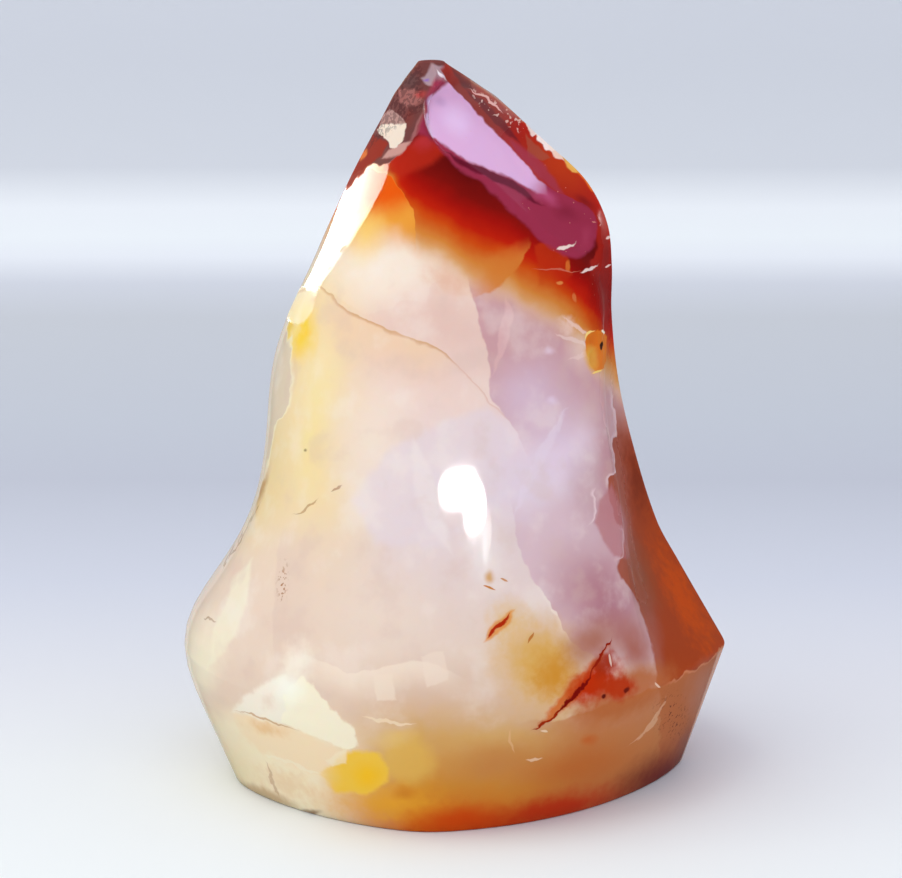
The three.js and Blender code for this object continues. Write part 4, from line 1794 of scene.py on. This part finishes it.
@dataclass(frozen=True)
class Chalcedony:
    """The stone's finish: mirror polish over milky, banded chalcedony.

    Attributes:
        region: The part of the stone that it is for.
        side: Whether it is for faces that show the front's markings alone, or for the others.
        glow: Share of the light that goes into the stone and comes out again.
        glow_depth: How far that light goes, m.
        front_ends: Where the markings of the front give way to those of the back, as the cosine of
            the angle between the surface's normal and the line of sight.
        hand_polish: How far the polish by hand is from a true surface, m.
        polish_clouds: Clouds of its unevenness to a metre.
        polish_spread: How far its roughness differs from place to place.
        shine: Index of refraction of the stone, as its shine shows it.
        glow_tone: How far red, green and blue go into the stone, as shares of the depth.
        cap_fade: How far under the cap's edge its colour is gone and full, px.
        rust: The colour of the rust that goes round onto the back, 0 to 255.
        rust_cover: How strongly it covers what lies under it.
        rust_from: Where the rust of the right face begins and is full on the back, as x in m.
        rust_up_to: Where that rust ends and is full, as z in m.
        rust_ragged: How far noise shifts its edge, m.
        rust_noise: Clouds to a metre and detail of that noise.
        wide_wander: Clouds to a metre and the greatest shift in px of the markings' wide wander.
        fine_wander: The same of their fine wander.
        back_wander: The same of the bands of the back.
        grain: Clouds to a metre and detail of the fine noise that tears edges.
        specks: The same of the noise of the grains.
        milk: The same of the noise of the wisps.
    """

    region: Region
    side: Side
    glow: float = 0.5
    glow_depth: float = 0.004
    front_ends: Pair = (0.04, 0.24)
    hand_polish: float = 0.000008
    polish_clouds: float = 260.0
    polish_spread: float = 0.03
    shine: float = 1.37
    glow_tone: Triple = (1.0, 0.6, 0.4)
    cap_fade: Pair = (40.0, 8.0)
    rust: Triple = (172, 84, 42)
    rust_cover: float = 0.9
    rust_from: Pair = (0.024, 0.034)
    rust_up_to: Pair = (0.064, 0.052)
    rust_ragged: float = 0.016
    rust_noise: Pair = (60.0, 4.0)
    wide_wander: Pair = (110.0, 6.0)
    fine_wander: Pair = (400.0, 4.5)
    back_wander: Pair = (32.0, 42.0)
    grain: Pair = (820.0, 3.0)
    specks: Pair = (1900.0, 1.0)
    milk: Pair = (170.0, 4.0)

    def spot(self, board: Board, place: Wire) -> Wire:
        """The place on the sheet, px: the stone as seen from the camera's point.

        The place less the aim is split along the line of sight, across it and up it. Across and up
        are multiplied by the focus, divided by the depth and counted from the frame's corner.

        Args:
            board: The material.
            place: Object coordinates, m.

        Returns:
            A vector of across, down and 1.
        """
        offset = board.vector("SUBTRACT", place, tuple(MM * part for part in AIM_MM))
        scale = FOCUS / (board.dot(offset, SIGHT) + CAMERA_DISTANCE_MM * MM)
        across = FRAME_WIDTH / 2 + board.dot(offset, (1.0, 0.0, 0.0)) * scale
        down = FRAME_HEIGHT / 2 - board.dot(offset, SIGHT_UP) * scale
        return board.node("CombineXYZ", None, {"X": across, "Y": down, "Z": 1.0})

    def wander(self, board: Board, place: Wire, spot: Wire, clouds: float, reach: float) -> Wire:
        """Shifts a place on the sheet by noise, so that no edge is drawn with a ruler.

        Args:
            board: The material.
            place: Object coordinates, m, that the noise is read at.
            spot: The place on the sheet.
            clouds: Clouds of noise to a metre.
            reach: How far a place is shifted at most, px.

        Returns:
            The shifted place.
        """
        noise = board.noise(place, clouds, output="Color")
        centred = board.vector("SUBTRACT", noise, (0.5, 0.5, 0.5))
        return board.vector("MULTIPLY_ADD", centred, (2 * reach, 2 * reach, 0.0), spot)

    def sheet(self, board: Board, place: Wire, spot: Wire) -> Sheet:
        """Gathers what the markings read at a place.

        Args:
            board: The material.
            place: Object coordinates, m.
            spot: The place on the sheet, wandered.

        Returns:
            The place as the markings read it.
        """
        across, down, _ = board.parts(spot)
        grain, specks, milk = (board.noise(place, *kind) for kind in (self.grain, self.specks, self.milk))
        return Sheet(board, place, spot, across, down, grain, specks, milk)

    def cap(self, sheet: Sheet, under: Wire) -> Wire:
        """The red cap: its bands over the distance past its lower edge.

        Args:
            sheet: The place on the sheet.
            under: The colour under it.

        Returns:
            The colour with the cap on.
        """
        past = Border(CAP_EDGE, Run.ACROSS).past(sheet)
        share = sheet.board.smooth(past, *self.cap_fade)
        return sheet.board.mix(under, CAP_BANDS.colour(sheet.board, past), share)

    def back(self, board: Board, place: Wire, spot: Wire) -> Wire:
        """The side away from the viewer: the same bands, with clouds and veils by noise.

        Args:
            board: The material.
            place: Object coordinates, m.
            spot: The place on the sheet.

        Returns:
            The colour.
        """
        bent = self.sheet(board, place, self.wander(board, place, spot, *self.back_wander))
        paint = BODY_BANDS.colour(board, bent.down)
        for cloud in BACK_CLOUDS:
            paint = board.mix(paint, tint(*cloud.colour), cloud.share(bent) * cloud.strength)
        return self.cap(bent, self.rust_side(board, place, paint))

    def rust_side(self, board: Board, place: Wire, under: Wire) -> Wire:
        """Carries the rust of the right face a little way round onto the back, with a noisy edge.

        Args:
            board: The material.
            place: Object coordinates, m.
            under: The colour under it.

        Returns:
            The colour with the rust on.
        """
        x, _, z = board.parts(place)
        ragged = board.noise(place, *self.rust_noise) * self.rust_ragged
        share = board.smooth(x + ragged, *self.rust_from) * board.smooth(z + ragged, *self.rust_up_to)
        return board.mix(under, tint(*self.rust), share * self.rust_cover)

    def looks(self, board: Board, place: Wire) -> tuple[Wire, Wire]:
        """The region's markings, one over the other, which give way to the back's by the normal.

        Args:
            board: The material.
            place: Object coordinates, m.

        Returns:
            The colour and the roughness.
        """
        plain = self.spot(board, place)
        spot = self.wander(board, place, plain, *self.wide_wander)
        sheet = self.sheet(board, place, self.wander(board, place, spot, *self.fine_wander))
        rough = sheet.grain * self.polish_spread + (POLISH - self.polish_spread / 2)
        paint = BODY_BANDS.colour(board, sheet.down)
        for marking in self.reaching(BODY_MARKS):
            paint, rough = marking.lay(sheet, paint, rough)
        if self.region.top < CAP_ENDS:
            paint = self.cap(sheet, paint)
        for marking in self.reaching(CAP_MARKS):
            paint, rough = marking.lay(sheet, paint, rough)
        if self.side is Side.FRONT:
            return paint, rough
        facing = board.node("NewGeometry", output="Normal")
        away = board.smooth(board.dot(facing, SIGHT), *self.front_ends)
        return board.mix(paint, self.back(board, place, plain), away), rough

    def reaching(self, markings: Sequence[Mark]) -> list[Mark]:
        """The markings that show in the region."""
        top, bottom = self.region.top - REGION_MARGIN, self.region.bottom + REGION_MARGIN
        return [marking for marking in markings if marking.reaches(top, bottom)]

    def material(self) -> bpy.types.Material:
        """Builds the material.

        Returns:
            The finished material.
        """
        board = Board(bpy.data.materials.new(f"{self.side.value} {self.region.name} chalcedony"))
        place = board.node("TexCoord", output="Object")
        colour, rough = self.looks(board, place)
        uneven = board.noise(place, self.polish_clouds)
        normal = board.node("Bump", None, {"Height": uneven, "Distance": self.hand_polish})
        board.finish(
            "BsdfPrincipled", Base_Color=colour, Roughness=rough, Normal=normal, IOR=self.shine,
            Subsurface_Weight=self.glow, Subsurface_Radius=self.glow_tone, Subsurface_Scale=self.glow_depth,
        )
        LOG.info("%s: %d nodes", board.owner.name, len(board.tree.nodes))
        return board.owner


class Role(Enum):
    """What a lamp is for."""

    LIGHT = "lights the stone"
    SHINE = "shows in the polish"


@dataclass(frozen=True)
class Lamp:
    """A soft lamp: a lit panel that faces the stone.

    Attributes:
        name: What it is for.
        azimuth: Where it stands, in degrees from the viewer, to the right.
        elevation: How high it stands as seen from the stone, degrees.
        distance: How far off it stands, m.
        size: Width and height of the panel, m.
        brightness: Light that leaves each part of it, per steradian.
        colour: Its colour.
        role: Whether it lights the stone or shows in its polish.
        turn: How far it is turned about the line to the stone, degrees.
        round: Whether the panel is an ellipse.
    """

    name: str
    azimuth: float
    elevation: float
    distance: float
    size: Pair
    brightness: float
    colour: Triple
    role: Role
    turn: float = 0.0
    round: bool = False

    def build(self, aim: Vector) -> bpy.types.Object:
        """Makes the lamp and turns it to the stone.

        The lamp's power is brightness times the panel's area times pi.

        Args:
            aim: What it points at, m.

        Returns:
            The lamp.
        """
        light = bpy.data.lights.new(self.name, "AREA")
        light.shape = "ELLIPSE" if self.round else "RECTANGLE"
        light.size, light.size_y = self.size
        area = self.size[0] * self.size[1] * (pi / 4 if self.round else 1.0)
        light.energy = self.brightness * area * pi
        light.color = self.colour
        lamp = bpy.data.objects.new(self.name, light)
        azimuth, elevation = radians(self.azimuth), radians(self.elevation)
        away = Vector((sin(azimuth) * cos(elevation), -cos(azimuth) * cos(elevation), sin(elevation)))
        lamp.location = aim + away * self.distance
        facing = away.to_track_quat("Z", "Y").to_matrix().to_4x4()
        lamp.rotation_euler = (facing @ Matrix.Rotation(radians(self.turn), 4, "Z")).to_euler()
        lamp.visible_diffuse = self.role is Role.LIGHT
        lamp.visible_glossy = self.role is Role.SHINE
        lamp.visible_camera = False
        bpy.context.scene.collection.objects.link(lamp)
        return lamp


# The floor's tone by its distance behind the stone, m: painted light and shade, pale near the stone, greyer
# behind it, with a painted bright band of light further back
FLOOR_LIGHT_BANDS = Bands((
    (-0.05, (240, 246, 246)), (0.0, (237, 241, 243)), (0.035, (228, 231, 236)), (0.09, (210, 215, 226)),
    (0.15, (194, 199, 210)), (0.19, (197, 203, 212)), (0.27, (202, 207, 213)), (0.30, (212, 217, 225)),
    (0.325, (236, 241, 246)), (0.345, (241, 247, 249)), (0.375, (240, 245, 248)),
    (0.42, (215, 220, 226)), (0.60, (212, 217, 224)),
))


@dataclass
class Studio:
    """The pale floor that sweeps up behind the stone, the soft lamps and the camera.

    Attributes:
        lamps: The lamps.
        half_width: Half the floor's width, m.
        front: Where the floor starts in front of the stone, as y in m.
        flat_to: Where it begins to rise, as y in m.
        bend: Radius of its rise, m.
        wall: How high it goes, m.
        flat_rows: Rows of points on its flat part.
        bend_rows: Rows on its rise.
        wall_rows: Rows on its wall.
        floor_columns: Columns across it.
        floor_rough: Its roughness.
        floor_shine: Its specular level.
        room_light: Strength of the light from all sides.
        room_shine: Strength of the same light where it shows in the polish.
        left_light: Its colour from the left, 0 to 255.
        right_light: Its colour from the right, 0 to 255.
        clip: The nearest and the farthest that the camera sees, m.
    """

    lamps: tuple[Lamp, ...]
    half_width: float = 2.2
    front: float = -1.6
    flat_to: float = 0.55
    bend: float = 0.5
    wall: float = 1.6
    flat_rows: int = 60
    bend_rows: int = 33
    wall_rows: int = 8
    floor_columns: int = 41
    floor_rough: float = 0.9
    floor_shine: float = 0.1
    room_light: float = 1.06
    room_shine: float = 0.12
    left_light: Triple = (244, 247, 242)
    right_light: Triple = (236, 232, 250)
    clip: Pair = (0.05, 20.0)

    def sweep(self) -> bpy.types.Object:
        """The floor: flat, then a quarter circle, then a wall, carried along its width.

        It isn't mirrored in the polish, which would veil the stone's deep colours.

        Returns:
            The floor's object.
        """
        turn = np.linspace(0, pi / 2, self.bend_rows)
        run = np.concatenate([
            np.linspace(self.front, self.flat_to, self.flat_rows, endpoint=False),
            self.flat_to + self.bend * np.sin(turn),
            np.full(self.wall_rows, self.flat_to + self.bend),
        ])
        rise = np.concatenate([
            np.zeros(self.flat_rows),
            self.bend * (1 - np.cos(turn)),
            np.linspace(self.bend, self.wall, self.wall_rows + 1)[1:],
        ])
        across = np.linspace(-self.half_width, self.half_width, self.floor_columns)
        y, x = np.meshgrid(run, across, indexing="ij")
        z = np.broadcast_to(rise[:, None], y.shape)
        points = np.stack([x, y, z], axis=-1).reshape(-1, 3)
        rows, columns = y.shape
        corner = np.arange(rows - 1)[:, None] * columns + np.arange(columns - 1)
        quads = np.stack([corner, corner + 1, corner + columns + 1, corner + columns], axis=-1)
        mesh = bpy.data.meshes.new("floor")
        mesh.from_pydata(points.tolist(), [], quads.reshape(-1, 4).tolist())
        mesh.polygons.foreach_set("use_smooth", np.ones(len(mesh.polygons), bool))
        floor = bpy.data.objects.new("floor", mesh)
        bpy.context.scene.collection.objects.link(floor)
        floor.visible_glossy = False
        board = Board(bpy.data.materials.new("floor"))
        behind = board.parts(board.node("TexCoord", output="Object"))[1]
        # The floor's colour carries painted light and shade by its distance behind the stone
        board.finish(
            "BsdfPrincipled", Base_Color=FLOOR_LIGHT_BANDS.colour(board, behind),
            Roughness=self.floor_rough, Specular_IOR_Level=self.floor_shine,
        )
        mesh.materials.append(board.owner)
        return floor

    def world(self) -> None:
        """An even pale light from all sides, warmer from the left and weaker in the polish."""
        board = Board(bpy.data.worlds.new("studio"), "World")
        side = board.parts(board.node("TexCoord", output="Generated"))[0]
        left, right = tint(*self.left_light)[:3], tint(*self.right_light)[:3]
        # Inputs 6 to 10 are the vector, the least and the most of its range, and what they turn into
        sky = board.node(
            "MapRange", {"data_type": "FLOAT_VECTOR"},
            {6: side, 7: (-1.0, -1.0, -1.0), 9: left, 10: right}, output=1,
        )
        mirrored = board.node("LightPath", output="Is Glossy Ray")
        strength = board.node(
            "MapRange", None,
            {"Value": mirrored, "To Min": self.room_light, "To Max": self.room_shine},
        )
        board.finish("Background", Color=sky, Strength=strength)
        bpy.context.scene.world = board.owner

    def camera(self) -> bpy.types.Object:
        """The camera at the photograph's angle.

        Returns:
            The camera, whose lens gives FOCUS pixels to a unit of slope.
        """
        lens = bpy.data.cameras.new("camera")
        lens.sensor_width = SENSOR_WIDTH_MM
        lens.lens = FOCUS * SENSOR_WIDTH_MM / FRAME_WIDTH
        lens.clip_start, lens.clip_end = self.clip
        camera = bpy.data.objects.new("camera", lens)
        rise = radians(CAMERA_ELEVATION)
        away = Vector((0, -cos(rise), sin(rise)))
        camera.location = Vector(AIM_MM) * MM + away * CAMERA_DISTANCE_MM * MM
        camera.rotation_euler = away.to_track_quat("Z", "Y").to_euler()
        bpy.context.scene.collection.objects.link(camera)
        bpy.context.scene.camera = camera
        return camera

    def film(self) -> None:
        """Plain colours, without a film look."""
        view = bpy.context.scene.view_settings
        view.view_transform = "Standard"
        view.look = "None"
        bpy.context.scene.cycles.use_denoising = True

    def build(self) -> None:
        """Builds floor, world, lamps and camera."""
        self.sweep()
        self.world()
        self.film()
        self.camera()
        aim = Vector(AIM_MM) * MM
        for lamp in self.lamps:
            lamp.build(aim)


LAMPS = (
    Lamp("front lamp", azimuth=4, elevation=12.4, distance=1.2, size=(0.50, 0.059), brightness=70,
         colour=(1.0, 1.0, 0.96), round=True, role=Role.SHINE),
    Lamp("front lamp below", azimuth=12.4, elevation=11.0, distance=1.2, size=(0.27, 0.070),
         brightness=60, colour=(1.0, 1.0, 0.96), round=True, role=Role.SHINE),
    Lamp("front lamp tail", azimuth=18.4, elevation=9.3, distance=1.2, size=(0.12, 0.066),
         brightness=9, colour=(1.0, 1.0, 0.98), round=True, role=Role.SHINE),
    Lamp("lavender lamp", azimuth=110, elevation=48.5, distance=1.2, size=(0.24, 0.13),
         brightness=0.6, colour=(0.80, 0.72, 1.0), role=Role.SHINE),
    Lamp("left lamp", azimuth=-137, elevation=8.5, distance=1.3, size=(1.21, 0.22), brightness=10,
         colour=(1.0, 0.98, 0.90), turn=21, role=Role.SHINE),
    Lamp("rim lamp", azimuth=180, elevation=2, distance=0.8, size=(0.85, 0.95), brightness=0.42,
         colour=(1.0, 1.0, 1.0), role=Role.SHINE),
    Lamp("key lamp", azimuth=-72, elevation=58, distance=1.2, size=(0.8, 0.8), brightness=1.6,
         colour=(1.0, 1.0, 0.94), role=Role.LIGHT),
)


def main() -> None:
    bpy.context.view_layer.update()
    stone = FlameStone()
    piece = stone.build()
    stone.dress(piece)
    LOG.info("%s: %d points", piece.name, len(piece.data.vertices))
    Studio(lamps=LAMPS).build()
    LOG.info("studio: %d lamps", len(LAMPS))


if __name__ == "__main__":
    logging.basicConfig(level=logging.INFO)
    main()
